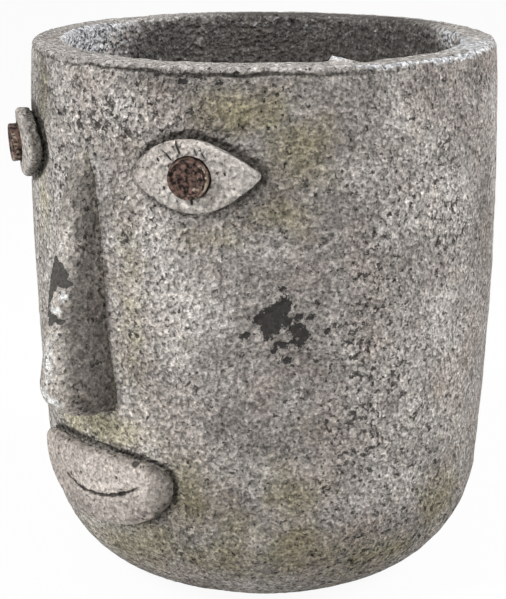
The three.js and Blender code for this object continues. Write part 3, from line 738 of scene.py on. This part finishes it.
CEMENT_SKIN = cement_skin_tree()
NOSE_CHIPS = [
    (-1.6, 150.5, 1.8, 2.2, 1.2), (-1.2, 147.5, 2.6, 2.6, 1.3), (-1.2, 144.5, 3.4, 2.6, 1.4),
    (1.6, 142.8, 3.6, 1.9, 1.3), (1.2, 146.0, 2.6, 2.4, 1.25), (0.4, 149.2, 1.8, 2.0, 1.15),
    (-1.6, 141.0, 2.8, 2.4, 1.3), (-2.0, 138.0, 2.2, 2.2, 1.25), (-2.4, 135.2, 1.7, 1.8, 1.15),
    (-2.9, 132.4, 1.5, 1.8, 1.1), (-2.4, 129.6, 2.6, 1.8, 1.25), (-0.2, 128.6, 2.8, 1.5, 1.25),
    (1.8, 127.8, 2.2, 1.1, 1.15), (-0.8, 126.6, 2.2, 1.4, 1.1), (2.0, 122.4, 1.0, 0.9, 0.9),
]
NOSE_CHIP_DEPTH = 0.7
NOSE_WEAR_AND_HIGHLIGHT = [  # rubbed white beside the chips and on the tip
    (0.4, 131.8, 3.4, 1.5, 1.0), (2.0, 137.6, 2.2, 3.0, 0.75), (0.0, 156.5, 2.2, 4.0, 0.55),
    # (0.4, 94) and (-1.2, 97.5), on the tip, are a painted highlight.
    (-0.8, 110.0, 4.0, 15.0, 0.62), (0.4, 94.0, 5.0, 2.6, 0.95), (-1.2, 97.5, 3.0, 4.0, 0.7),
]
# Painted shadow under the nostril's right corner.
NOSTRIL_SHADOW = [(7.4, 92.0, 3, 3.5, 1.0), (7.6, 89.2, 4, 1.3, 1.4)]
loops = [nose_loop(*row) for row in nose_rows()]
nose = new_piece("nose.cast", *skin(loops, loops[0].mean(0), loops[-1].mean(0)))
evened(nose, NOSE_VOXEL)
normals = normals_of(nose)
# The nose's sides are painted darker by how they face, partly as dirt and partly as painted shade.
flank_shade = between(np.abs(normals[:, 0]), 0.12, 0.8)
nose_cement = weathered_cement(
    "rubbed cast cement", "#bbb5ae", "#7d7872",
    stains=[
        ("moss", "#857e60", 6.0, 0.5, 0.4, 0.55),
        ("grime", "#47413c", 4.0, 0.3, 0.6, 0.9),
        ("worn", "#dfe0df", 2.0, 0.5, 0.25, 0.8),
    ],
    bare=[("chip", "#d2cdc7", "#383634", 2.0, 0.9, 0.12, 0.96)],
)
worked(nose, CEMENT_SKIN, nose_cement, wave=(40, 1.2), lump=(11, 1.0), sand=(3.5, 0.6), pore=(6, 0.8))
points = points_of(nose)
azimuth, level, out = off_wall(points)
down = between(level, NOSE_TOP, NOSE_BOTTOM)
chip = spots(azimuth, level, NOSE_CHIPS) * (normals[:, 1] < -0.4)
move_points(nose, points - normals * (NOSE_CHIP_DEPTH * between(chip, 0.375, 1.0))[:, None])
paint(
    nose, chip=chip, tone=0.9 * down - 0.6 * flank_shade, porous=0.15 * flank_shade,
    grime=np.maximum(flank_shade * (0.22 + 0.64 * down), spots(azimuth, level, NOSTRIL_SHADOW)),
    moss=between(out, 4, 0) * (0.3 + 0.5 * down),
    worn=spots(azimuth, level, NOSE_WEAR_AND_HIGHLIGHT) * (normals[:, 1] < -0.3),
)
shares = np.linspace(1, 0, 24)
halves = np.array([nose_half(share) for share in shares]) + NOSE_FLARE
sides = np.stack([halves, NOSE_TOP + (NOSE_BOTTOM - NOSE_TOP) * shares], -1)
nose_foot = np.concatenate([sides, sides[::-1] * (-1, 1)]) - (0, NOSE_MIDDLE)
# The dark on the wall to the right of the nose is painted shadow.
rake_round(0.0, NOSE_MIDDLE, nose_foot, wide=2.6, deep=0.2, shade_and_dirt=0.6, towards=(1.0, -0.3))
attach(nose, "pot")
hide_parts("nose", "nose_bed")

# Mortar beds
# Thin beds of dirty mortar hold the eye plates and the lips on the wall. They are raked out round the edges,
# so each piece has a dark seam behind it. The seam is painted on the wall, partly as dirt and partly as
# painted shade.
mortar = weathered_cement("raked mortar", "#4d4943", "#332f2b", speckle=0.8)
for node in ("eye_bed_left", "eye_bed_right", "lips_bed"):
    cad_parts[node].material_slots[0].material = mortar

# Eye plates
# Almond plates of paler cement, cast flat, pressed on the curve of the wall and tilted a little downwards.
# Each has a round seat for its iris cap, and cracks that run out from it.
EYE_AZIMUTH = 31.0
EYE_LEVEL = RIM - 41.2
EYE_HALF_WIDTH, EYE_HALF_HEIGHT = 25.5, 14.5
EYE_RISE = 5.8
EYE_TILT = math.radians(5)
EYE_EDGE = 2.0
EYE_VOXEL = 0.45
EYE_WELD = 0.05  # takes up the slivers that the cut for the seat leaves
EYE_BLUNTED = 5  # rounds of easing that take the points off the almond
PIECE_BACK = 1.2  # from the wall, in front of the mortar
IRIS_OFF_CENTRE = 0.8
IRIS_SEAT_RADIUS, IRIS_SEAT_DEPTH = 8.5, 1.8
IRIS_SEAT_TOP = 4.0  # what cuts the seat reaches this far out of the plate
IRIS_SIDES = 96
EYE_ALMOND = [  # curves as shares of half the width and the height, blunter on the side of the nose
    [(1.045, 0.1), (0.66, 0.48), (0.3, 1), (-0.08, 1)],
    [(-0.08, 1), (-0.46, 1), (-0.85, 0.64), (-1, -0.13)],
    [(-1, -0.13), (-0.77, -0.47), (-0.46, -1), (0, -1)],
    [(0, -1), (0.38, -1), (0.79, -0.4), (1.045, 0.1)],
]
EYE_CRACK_WIDTH, EYE_CRACK_DEPTH = 0.45, 1.0
EYE_CRACKS = [  # start, end and strength, from the middle of the iris, for the eye on the right
    ((-5.3, 13.6), (-3.7, 9.2), 1.0), ((-11.0, 10.2), (-9.0, 8.6), 0.62), ((-9.0, 8.6), (-7.2, 6.4), 0.7),
    ((2.2, 10.8), (3.0, 8.8), 0.66), ((5.0, 9.7), (6.0, 7.6), 0.66), ((-12.8, 6.6), (-12.4, 5.8), 0.85),
    ((0.2, -8.7), (0.6, -10.2), 1.0), ((13.5, 2.3), (13.8, 1.5), 0.9), ((-10.5, -4.3), (-10.3, -5.0), 0.9),
    ((21.5, 4.2), (23.0, 3.6), 0.7), ((17.0, -3.6), (17.4, -4.2), 0.7), ((-17.0, 2.8), (-16.6, 2.2), 0.75),
]


def almond(side):
    """The outline of the eye on the right (side 1) or the left (side -1), anticlockwise."""
    share = (np.arange(24) / 24)[:, None]
    rest = 1 - share
    curves = []
    for start, lead, trail, end in np.array(EYE_ALMOND):
        ends = rest ** 3 * start + share ** 3 * end
        curves.append(ends + 3 * rest ** 2 * share * lead + 3 * rest * share ** 2 * trail)
    outline = np.concatenate(curves) * (EYE_HALF_WIDTH, EYE_HALF_HEIGHT)
    for _ in range(EYE_BLUNTED):
        outline = (np.roll(outline, 1, 0) + 2 * outline + np.roll(outline, -1, 0)) / 4
    return outline if side > 0 else (outline * (-1, 1))[::-1]


def slab(middle, middle_level, outline, edge, edge_share, rise, lean=0.0):
    """Points and faces of a slab on the wall with a rounded front edge, from its outline about its middle."""
    reach = wall_reach(middle_level)

    def ring(share, out):
        up = outline[:, 1] * share
        azimuth = middle + np.degrees(outline[:, 0] * share / reach)
        return on_wall(azimuth, middle_level + up, np.maximum(out + up * lean, PIECE_BACK))

    flat = 1 - edge_share
    loops = [ring(share, rise) for share in np.linspace(0.15, flat, 8)]
    for turn in np.linspace(0, TURN / 4, 7)[1:]:
        loops.append(ring(flat + edge_share * math.sin(turn), rise - edge * (1 - math.cos(turn))))
    loops += [ring(share, -rise) for share in np.linspace(1, 0.15, 8)]
    return skin(loops, on_wall(middle, middle_level, rise), on_wall(middle, middle_level, PIECE_BACK))


def iris_frame(side):
    """The middle of an iris on its plate's front, and its directions to the right, up and outwards."""
    turn = side * (EYE_AZIMUTH - math.degrees(IRIS_OFF_CENTRE / wall_reach(EYE_LEVEL)))
    foot = on_wall(turn, EYE_LEVEL, 0.0)
    square = on_wall(turn, EYE_LEVEL, 1.0) - foot
    sideways = np.array([math.cos(math.radians(turn)), math.sin(math.radians(turn)), 0.0])
    outwards = square * math.cos(EYE_TILT) + np.cross(sideways, square) * math.sin(EYE_TILT)
    return foot + square * EYE_RISE, sideways, np.cross(outwards, sideways), outwards


def turned(profile, count):
    """Points and faces of a shape turned about Z, from its top on the axis to its bottom on the axis."""
    turns = np.arange(count) / count * TURN
    loops = []
    for radius, height in profile[1:-1]:
        loops.append(np.stack([radius * np.sin(turns), -radius * np.cos(turns), np.full(count, height)], -1))
    return skin(loops, (0, 0, profile[0][1]), (0, 0, profile[-1][1]))


def at_iris(points, side):
    """Puts points made about Z on the front of an eye plate."""
    middle, sideways, upwards, outwards = iris_frame(side)
    return middle + points @ np.array([sideways, upwards, outwards])


def drop_flaps(piece):
    """Takes out triangles that a cut has left lying back to back."""
    grid = bmesh.new()
    grid.from_mesh(piece.data)
    bmesh.ops.triangulate(grid, faces=grid.faces)
    alike = {}
    for face in grid.faces:
        alike.setdefault(frozenset(corner.index for corner in face.verts), []).append(face)
    flaps = [face for faces in alike.values() if len(faces) > 1 for face in faces]
    bmesh.ops.delete(grid, geom=flaps, context="FACES")
    grid.to_mesh(piece.data)
    grid.free()


SEAT_PROFILE = [
    (0, IRIS_SEAT_TOP), (IRIS_SEAT_RADIUS, IRIS_SEAT_TOP),
    (IRIS_SEAT_RADIUS, -IRIS_SEAT_DEPTH), (0, -IRIS_SEAT_DEPTH),
]
eye_cement = weathered_cement(
    "pale cast cement", "#c9c4be", "#a29c97",
    stains=[("grime", "#57524c", 2.5, 0.3, 0.4, 0.85), ("moss", "#8b8468", 5.0, 0.5, 0.4, 0.4)],
    bare=[("crack", "#b5afa9", "#2f2b28", 1.2, 0.2, 0.15, 0.9)],
    speckle=0.75,
)
for side, hand in ((-1, "left"), (1, "right")):
    node = "eye_plate_" + hand
    eye_turn, outline = side * EYE_AZIMUTH, almond(side)
    edge_share, lean = EYE_EDGE / EYE_HALF_HEIGHT, math.tan(EYE_TILT)
    shape = slab(eye_turn, EYE_LEVEL, outline, EYE_EDGE, edge_share, EYE_RISE, lean)
    plate = new_piece(node + ".cast", *shape)
    rake_round(eye_turn, EYE_LEVEL, outline, wide=3.0, deep=0.7, shade_and_dirt=1.35, towards=(0.7, 0.6))
    evened(plate, EYE_VOXEL)
    worked(plate, CEMENT_SKIN, eye_cement, wave=(30, 0.8), lump=(7, 0.5), sand=(3, 0.4), pore=(5, 0.5))
    points = points_of(plate)
    middle, sideways, upwards, outwards = iris_frame(side)
    away = points - middle
    flat = np.stack([away @ sideways * side, away @ upwards], -1)
    crack = np.zeros(len(points))
    for start, end, strength in EYE_CRACKS:
        off_crack = line_distance(flat, start, end) / EYE_CRACK_WIDTH
        crack = np.maximum(crack, strength * np.exp(-off_crack ** 2))
    crack = crack * between(away @ outwards, -2.6, -1.1)
    move_points(plate, points - outwards * (EYE_CRACK_DEPTH * crack)[:, None])
    _, _, out = off_wall(points)
    # Each plate's sides are painted darker, partly as dirt and partly as painted shade, most on the side
    # towards the nose.
    nose_side_shade = np.clip(normals_of(plate) @ sideways * -side, 0, 1)
    paint(
        plate, crack=crack * 0.9, moss=0.15,
        grime=np.maximum(between(out, PIECE_BACK + 4.6, PIECE_BACK + 0.6), 0.95 * nose_side_shade),
        # The plate on the left is painted darker than the one on the right, as painted shade.
        tone=(0.2 if side > 0 else -0.3) - 0.4 * between(flat[:, 0], 0, 18),
    )
    seat = new_piece("seat", *turned(SEAT_PROFILE, IRIS_SIDES))
    move_points(seat, at_iris(points_of(seat), side))
    cut = plate.modifiers.new("seat", "BOOLEAN")
    cut.object, cut.operation, cut.solver = seat, "DIFFERENCE", "EXACT"
    weld = plate.modifiers.new("weld", "WELD")
    weld.merge_threshold = EYE_WELD * MM
    keep_result(plate)
    drop_flaps(plate)
    bpy.data.objects.remove(seat)
    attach(plate, "pot")
    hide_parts(node)

# Iris caps
# Cups pressed from steel sheet and let into the plates, rusted to dark brown, with a rolled edge that is worn
# to bare metal in places. The lower right of each cap, less on the cap on the left, is painted bare as a
# painted highlight.
IRIS_RADIUS, IRIS_FOOT, IRIS_SHEET = 8.0, -1.5, 1.2
IRIS_PROFILE = [
    (0, 2.7), (1.5, 2.75), (3.0, 2.85), (4.4, 3.0), (5.4, 3.02), (5.9, 2.8), (6.2, 2.78), (6.5, 3.05),
    (6.8, 3.4), (7.1, 3.58), (7.4, 3.58), (7.7, 3.42), (7.9, 3.1), (7.98, 2.6), (7.9, 1.8), (7.86, 0.8),
    (7.95, -0.6), (IRIS_RADIUS, IRIS_FOOT), (IRIS_RADIUS - IRIS_SHEET, IRIS_FOOT),
    (IRIS_RADIUS - IRIS_SHEET, 1.4), (0, 1.5),
]
IRIS_ROLL, IRIS_GROOVE, IRIS_DISH = 7.25, 6.3, 3.5  # radii where edge, groove and rubbed face begin


def rusted_steel():
    """Pressed sheet steel that has rusted through and through: dark red-brown scale with paler dust on it,
    and grey metal where the edge is rubbed bare and where a painted highlight is laid on."""
    material, tree = new_material("rusted sheet steel")
    where = add(tree, "ShaderNodeTexCoord").outputs["Object"]
    scale = noise(tree, where, 2.1 * MM, Detail=3.0, Roughness=0.62)
    colour = blend(tree, ramp(tree, scale, 0.41, 0.62), linear("#120c0b"), linear("#6c554c"))
    rub_and_highlight = noise(tree, where, 1.6 * MM, seed=2.0, Detail=2.0)
    rub_and_highlight = reckon(tree, "MULTIPLY", rub_and_highlight, field(tree, "worn"))
    rub_and_highlight = ramp(tree, rub_and_highlight, 0.36, 0.46)
    colour = blend(tree, rub_and_highlight, colour, linear("#a89a8a"))
    rough = ramp(tree, scale, 0.3, 0.7, 0.75, 0.42)
    bump = add(tree, "ShaderNodeBump", {"Height": scale, "Strength": 0.8, "Distance": 0.35 * MM})
    metal = reckon(tree, "MULTIPLY_ADD", rub_and_highlight, 0.6, 0.25)
    links = {"Base Color": colour, "Roughness": rough, "Metallic": metal, "Specular IOR Level": 0.2}
    surface = add(tree, "ShaderNodeBsdfPrincipled", {**links, "Normal": bump})
    add(tree, "ShaderNodeOutputMaterial", {"Surface": surface})
    return material


rust = rusted_steel()
for side, hand in ((-1, "left"), (1, "right")):
    node = "iris_cap_" + hand
    points, faces = turned(IRIS_PROFILE, IRIS_SIDES)
    cap = new_piece(node + ".pressed", at_iris(points, side), faces)
    cap.data.materials.append(rust)
    cap.data.shade_smooth()
    edge = np.hypot(points[:, 0], points[:, 1])
    # The lower right of each cap, less on the left one, is painted bare and pale as a painted highlight.
    low_right_highlight = np.clip(np.cos(np.arctan2(points[:, 1], points[:, 0]) + 0.4), 0, 1)
    rubbed = (0.5 + 0.42 * low_right_highlight ** 0.7 * (1 if side > 0 else 0.6)) * between(points[:, 2], 0, 0.8)
    face = 0.5 + 0.27 * low_right_highlight * (edge > IRIS_DISH)
    paint(cap, worn=np.where(edge > IRIS_ROLL, rubbed, np.where(edge > IRIS_GROOVE, 0.25, face)))
    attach(cap, "pot")
    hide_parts(node)

# Lips
# One curved slab of the paler cement, nearly straight on top and round below, with the smile cut into it
# while it was soft. Dirt lies on its top edge and in the cut. Its rounded edge is painted darker, partly as
# dirt and partly as painted shade, and its right end as painted shadow.
LIPS_LEVEL = 59.5
LIPS_HALF_WIDTH, LIPS_UPPER, LIPS_LOWER = 40.0, 11.3, 22.0
LIPS_SQUARENESS = 3.4  # of the upper outline: 2 is an ellipse
LIPS_RISE, LIPS_EDGE, LIPS_EDGE_SHARE = 5.6, 3.6, 0.24
SMILE_HALF_WIDTH, SMILE_DEPTH = 27.5, 9.2
SMILE_WIDTH_CUT, SMILE_CUT = 0.95, 1.7
LIPS_DENTS, LIPS_DENT_DEPTH = [(15, 69.2, 1.8, 2.2, 1.0), (9.5, 61, 1.1, 0.9, 0.85)], 0.9
LIPS_VOXEL = 0.7
turns = np.arange(120) / 120 * TURN
upper = np.sin(turns) > 0
power = np.where(upper, 2 / LIPS_SQUARENESS, 1.0)
lips_outline = np.stack([
    squarer(np.cos(turns), power) * LIPS_HALF_WIDTH,
    squarer(np.sin(turns), power) * np.where(upper, LIPS_UPPER, LIPS_LOWER),
], -1)
lips = new_piece("lips.cast", *slab(0.0, LIPS_LEVEL, lips_outline, LIPS_EDGE, LIPS_EDGE_SHARE, LIPS_RISE))
rake_round(0.0, LIPS_LEVEL, lips_outline, wide=1.4, deep=0.9, shade_and_dirt=1.1, towards=(0.8, 0.5))
evened(lips, LIPS_VOXEL)
lips_cement = weathered_cement(
    "pale rubbed cement", "#c0b8b1", "#978f89",
    stains=[("grime", "#4a453f", 2.5, 0.3, 0.4, 0.85), ("moss", "#8b8468", 5.0, 0.5, 0.4, 0.5)],
    bare=[("crack", "#b0a9a2", "#2f2a27", 1.5, 0.25, 0.15, 0.9)],
    speckle=0.75,
)
worked(lips, CEMENT_SKIN, lips_cement, wave=(34, 1.0), lump=(9, 0.7), sand=(3, 0.45), pore=(6, 0.6))
points, normals = points_of(lips), normals_of(lips)
azimuth, level, out = off_wall(points)
across = across_wall(azimuth, 0) * (wall_reach(LIPS_LEVEL) / BELLY_RADIUS)
share = np.clip(across / SMILE_HALF_WIDTH, -1, 1)
smile_level = LIPS_LEVEL - SMILE_DEPTH * (1 - share ** 2)
off_smile = np.hypot(level - smile_level, np.maximum(np.abs(across) - SMILE_HALF_WIDTH, 0))
fade = between(across, -26, -14) * between(across, SMILE_HALF_WIDTH + 1, SMILE_HALF_WIDTH - 8) ** 0.5
wander = 1 + 0.25 * np.sin(across * 1.1) + 0.2 * np.sin(across * 2.7 + 1)
on_front = out > 2.5
smile = np.exp(-(off_smile / SMILE_WIDTH_CUT / wander) ** 2) * on_front * fade
dents = spots(azimuth, level, LIPS_DENTS) * on_front
move_points(lips, points - normals * (SMILE_CUT * smile + LIPS_DENT_DEPTH * dents)[:, None])
on_top = between(normals[:, 2], 0.15, 0.65) * (level > LIPS_LEVEL)
round_edge = between(out, PIECE_BACK + 3, PIECE_BACK)
paint(
    lips, crack=np.maximum(smile * 0.8, dents * 0.8),
    tone=0.1 + np.clip((level - smile_level) / 10, -0.6, 0.2),
    # The rounded edge is partly painted shade, and the right end is painted shadow.
    grime=np.maximum(on_top * 0.45, round_edge * 0.85) + 0.6 * between(across, 27, 35),
    moss=between(out, PIECE_BACK + 4, PIECE_BACK) * 0.4,
)
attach(lips, "pot")
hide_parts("lips")

# Drain plug
# A moulded rubber stopper in the drain hole: a flange with a raised ring to grip it by, in the counterbore of
# the floor, and a ribbed shank below.
PLUG_PROFILE = [
    (0, 16.6), (4.0, 16.6), (4.8, 16.9), (5.2, 17.5), (5.8, 17.78), (6.6, 17.78), (7.2, 17.5), (7.6, 17.1),
    (8.4, 17.0), (14.6, 17.2), (15.6, 17.4), (16.3, 17.2), (16.65, 16.6), (16.65, 14.4), (16.3, 13.9),
    (11.4, 13.85), (10.6, 13.4), (10.55, 11.6), (10.2, 11.2), (10.2, 10.4), (10.5, 10.0), (10.3, 8.2),
    (9.95, 7.8), (9.95, 7.0), (10.15, 6.6), (10.0, 4.4), (9.8, 3.0), (8.4, 1.6), (6.0, 1.55), (5.6, 2.6),
    (0, 2.8),
]
PLUG_SIDES = 96


def moulded_rubber():
    """Black rubber from a mould, matt with a bloom of grey dust that lies in patches."""
    material, tree = new_material("moulded rubber")
    where = add(tree, "ShaderNodeTexCoord").outputs["Object"]
    dust = ramp(tree, noise(tree, where, 5 * MM, Detail=5.0), 0.42, 0.75)
    colour = blend(tree, dust, linear("#232322"), linear("#5a5751"))
    rough = ramp(tree, dust, 0.0, 1.0, 0.55, 0.9)
    skin_grain = noise(tree, where, 0.6 * MM, Detail=1.0)
    bump = add(tree, "ShaderNodeBump", {"Height": skin_grain, "Strength": 0.3, "Distance": 0.08 * MM})
    links = {"Base Color": colour, "Roughness": rough, "Normal": bump}
    surface = add(tree, "ShaderNodeBsdfPrincipled", links)
    add(tree, "ShaderNodeOutputMaterial", {"Surface": surface})
    return material


rubber = moulded_rubber()
plug = new_piece("drain_plug.moulded", *turned(PLUG_PROFILE, PLUG_SIDES))
plug.data.materials.append(rubber)
plug.data.shade_smooth()
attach(plug, "plug")
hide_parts("drain_plug")

# Foot pads
# Small discs of the same rubber, glued under the flat base, with a rounded edge and rings underneath
# that grip.
PAD_PROFILE = [
    (0, 2.0), (6.4, 2.0), (6.8, 1.85), (7.0, 1.5), (6.95, 0.9), (6.6, 0.35), (6.0, 0.05), (5.2, 0.0),
    (4.9, 0.3), (4.3, 0.3), (4.0, 0.0), (2.8, 0.0), (2.5, 0.3), (1.9, 0.3), (1.6, 0.0), (0, 0.0),
]
PAD_SIDES = 64
for index in range(1, 5):
    node = f"foot_pad_{index}"
    low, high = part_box(node)
    points, faces = turned(PAD_PROFILE, PAD_SIDES)
    middle = np.array([(low.x + high.x) / 2 / MM, (low.y + high.y) / 2 / MM - AXIS_Y, low.z / MM - BASE])
    pad = new_piece(node + ".moulded", points + middle, faces)
    pad.data.materials.append(rubber)
    pad.data.shade_smooth()
    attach(pad, "pot")
    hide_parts(node)

# Studio
# A pale floor with soft daylight from the front left and the right, and the camera at the photograph's
# angle. Sizes here are in metres.
SWEEP_HALF, SWEEP_LEVEL = 6, -0.0001
SWEEP_GLOW = 0.94  # the share of the floor's own white that the camera sees
SKY_LIGHT = 0.42  # the strength of the light from all round
floor_mesh = bpy.data.meshes.new("floor")
corners = [(x * SWEEP_HALF, y * SWEEP_HALF, SWEEP_LEVEL) for x, y in ((-1, -1), (1, -1), (1, 1), (-1, 1))]
floor_mesh.from_pydata(corners, [], [(0, 1, 2, 3)])
floor = bpy.data.objects.new("floor", floor_mesh)
bpy.context.scene.collection.objects.link(floor)


def shown_to(tree):
    """1 for what the camera, a reflection or a clear material sees, and 0 for light that falls on things."""
    path = add(tree, "ShaderNodeLightPath").outputs
    seen = reckon(tree, "ADD", path["Is Camera Ray"], path["Is Glossy Ray"])
    return add(tree, "ShaderNodeMath", {0: seen, 1: path["Is Transmission Ray"]}, use_clamp=True)


paper, sweep = new_material("white paper sweep")
seen = reckon(sweep, "MULTIPLY", shown_to(sweep), SWEEP_GLOW)
matt = add(sweep, "ShaderNodeBsdfDiffuse", {"Color": linear("#f2f2f0")})
glow = add(sweep, "ShaderNodeEmission", {"Color": (1, 1, 1, 1), "Strength": 1.0})
mixed = add(sweep, "ShaderNodeMixShader", {0: seen, 1: matt, 2: glow})
add(sweep, "ShaderNodeOutputMaterial", {"Surface": mixed})
floor_mesh.materials.append(paper)

world = bpy.data.worlds.new("studio")
world.use_nodes = True
sky = world.node_tree
sky.nodes.clear()
glow = ramp(sky, shown_to(sky), 0.0, 1.0, SKY_LIGHT, 1.0)
backdrop = add(sky, "ShaderNodeBackground", {"Color": (1, 1, 1, 1), "Strength": glow})
add(sky, "ShaderNodeOutputWorld", {"Surface": backdrop})
bpy.context.scene.world = world

CAMERA_TARGET = Vector((0, AXIS_Y * MM, 0.1161))
CAMERA_AZIMUTH, CAMERA_ELEVATION, CAMERA_DISTANCE = math.radians(46), math.radians(15.3), 0.792
CAMERA_SENSOR, CAMERA_LENS = 36.0, 107.4  # in millimetres
CAMERA_SHIFT = -10.9 / 599  # as a share of the picture's longer side


def direction(azimuth, elevation):
    """Towards a place round the pot, from angles in radians."""
    flat = math.cos(elevation)
    return Vector((math.sin(azimuth) * flat, -math.cos(azimuth) * flat, math.sin(elevation)))


def soft_light(name, azimuth, elevation, distance, size, power):
    """A square soft box that faces the middle of the pot."""
    lamp = bpy.data.lights.new(name, "AREA")
    lamp.size, lamp.energy = size, power
    box = bpy.data.objects.new(name, lamp)
    away = direction(math.radians(azimuth), math.radians(elevation))
    box.location = CAMERA_TARGET + away * distance
    box.rotation_euler = away.to_track_quat("Z", "Y").to_euler()
    bpy.context.scene.collection.objects.link(box)


soft_light("key", azimuth=-8, elevation=36, distance=1.3, size=0.4, power=13.5)
soft_light("side", azimuth=114, elevation=35, distance=1.4, size=0.5, power=15)

lens = bpy.data.cameras.new("camera")
lens.sensor_width, lens.lens = CAMERA_SENSOR, CAMERA_LENS
lens.shift_x = CAMERA_SHIFT
camera = bpy.data.objects.new("camera", lens)
back = direction(CAMERA_AZIMUTH, CAMERA_ELEVATION)
camera.location = CAMERA_TARGET + back * CAMERA_DISTANCE
camera.rotation_euler = back.to_track_quat("Z", "Y").to_euler()
bpy.context.scene.collection.objects.link(camera)
bpy.context.scene.camera = camera
bpy.context.scene.view_settings.view_transform = "Standard"
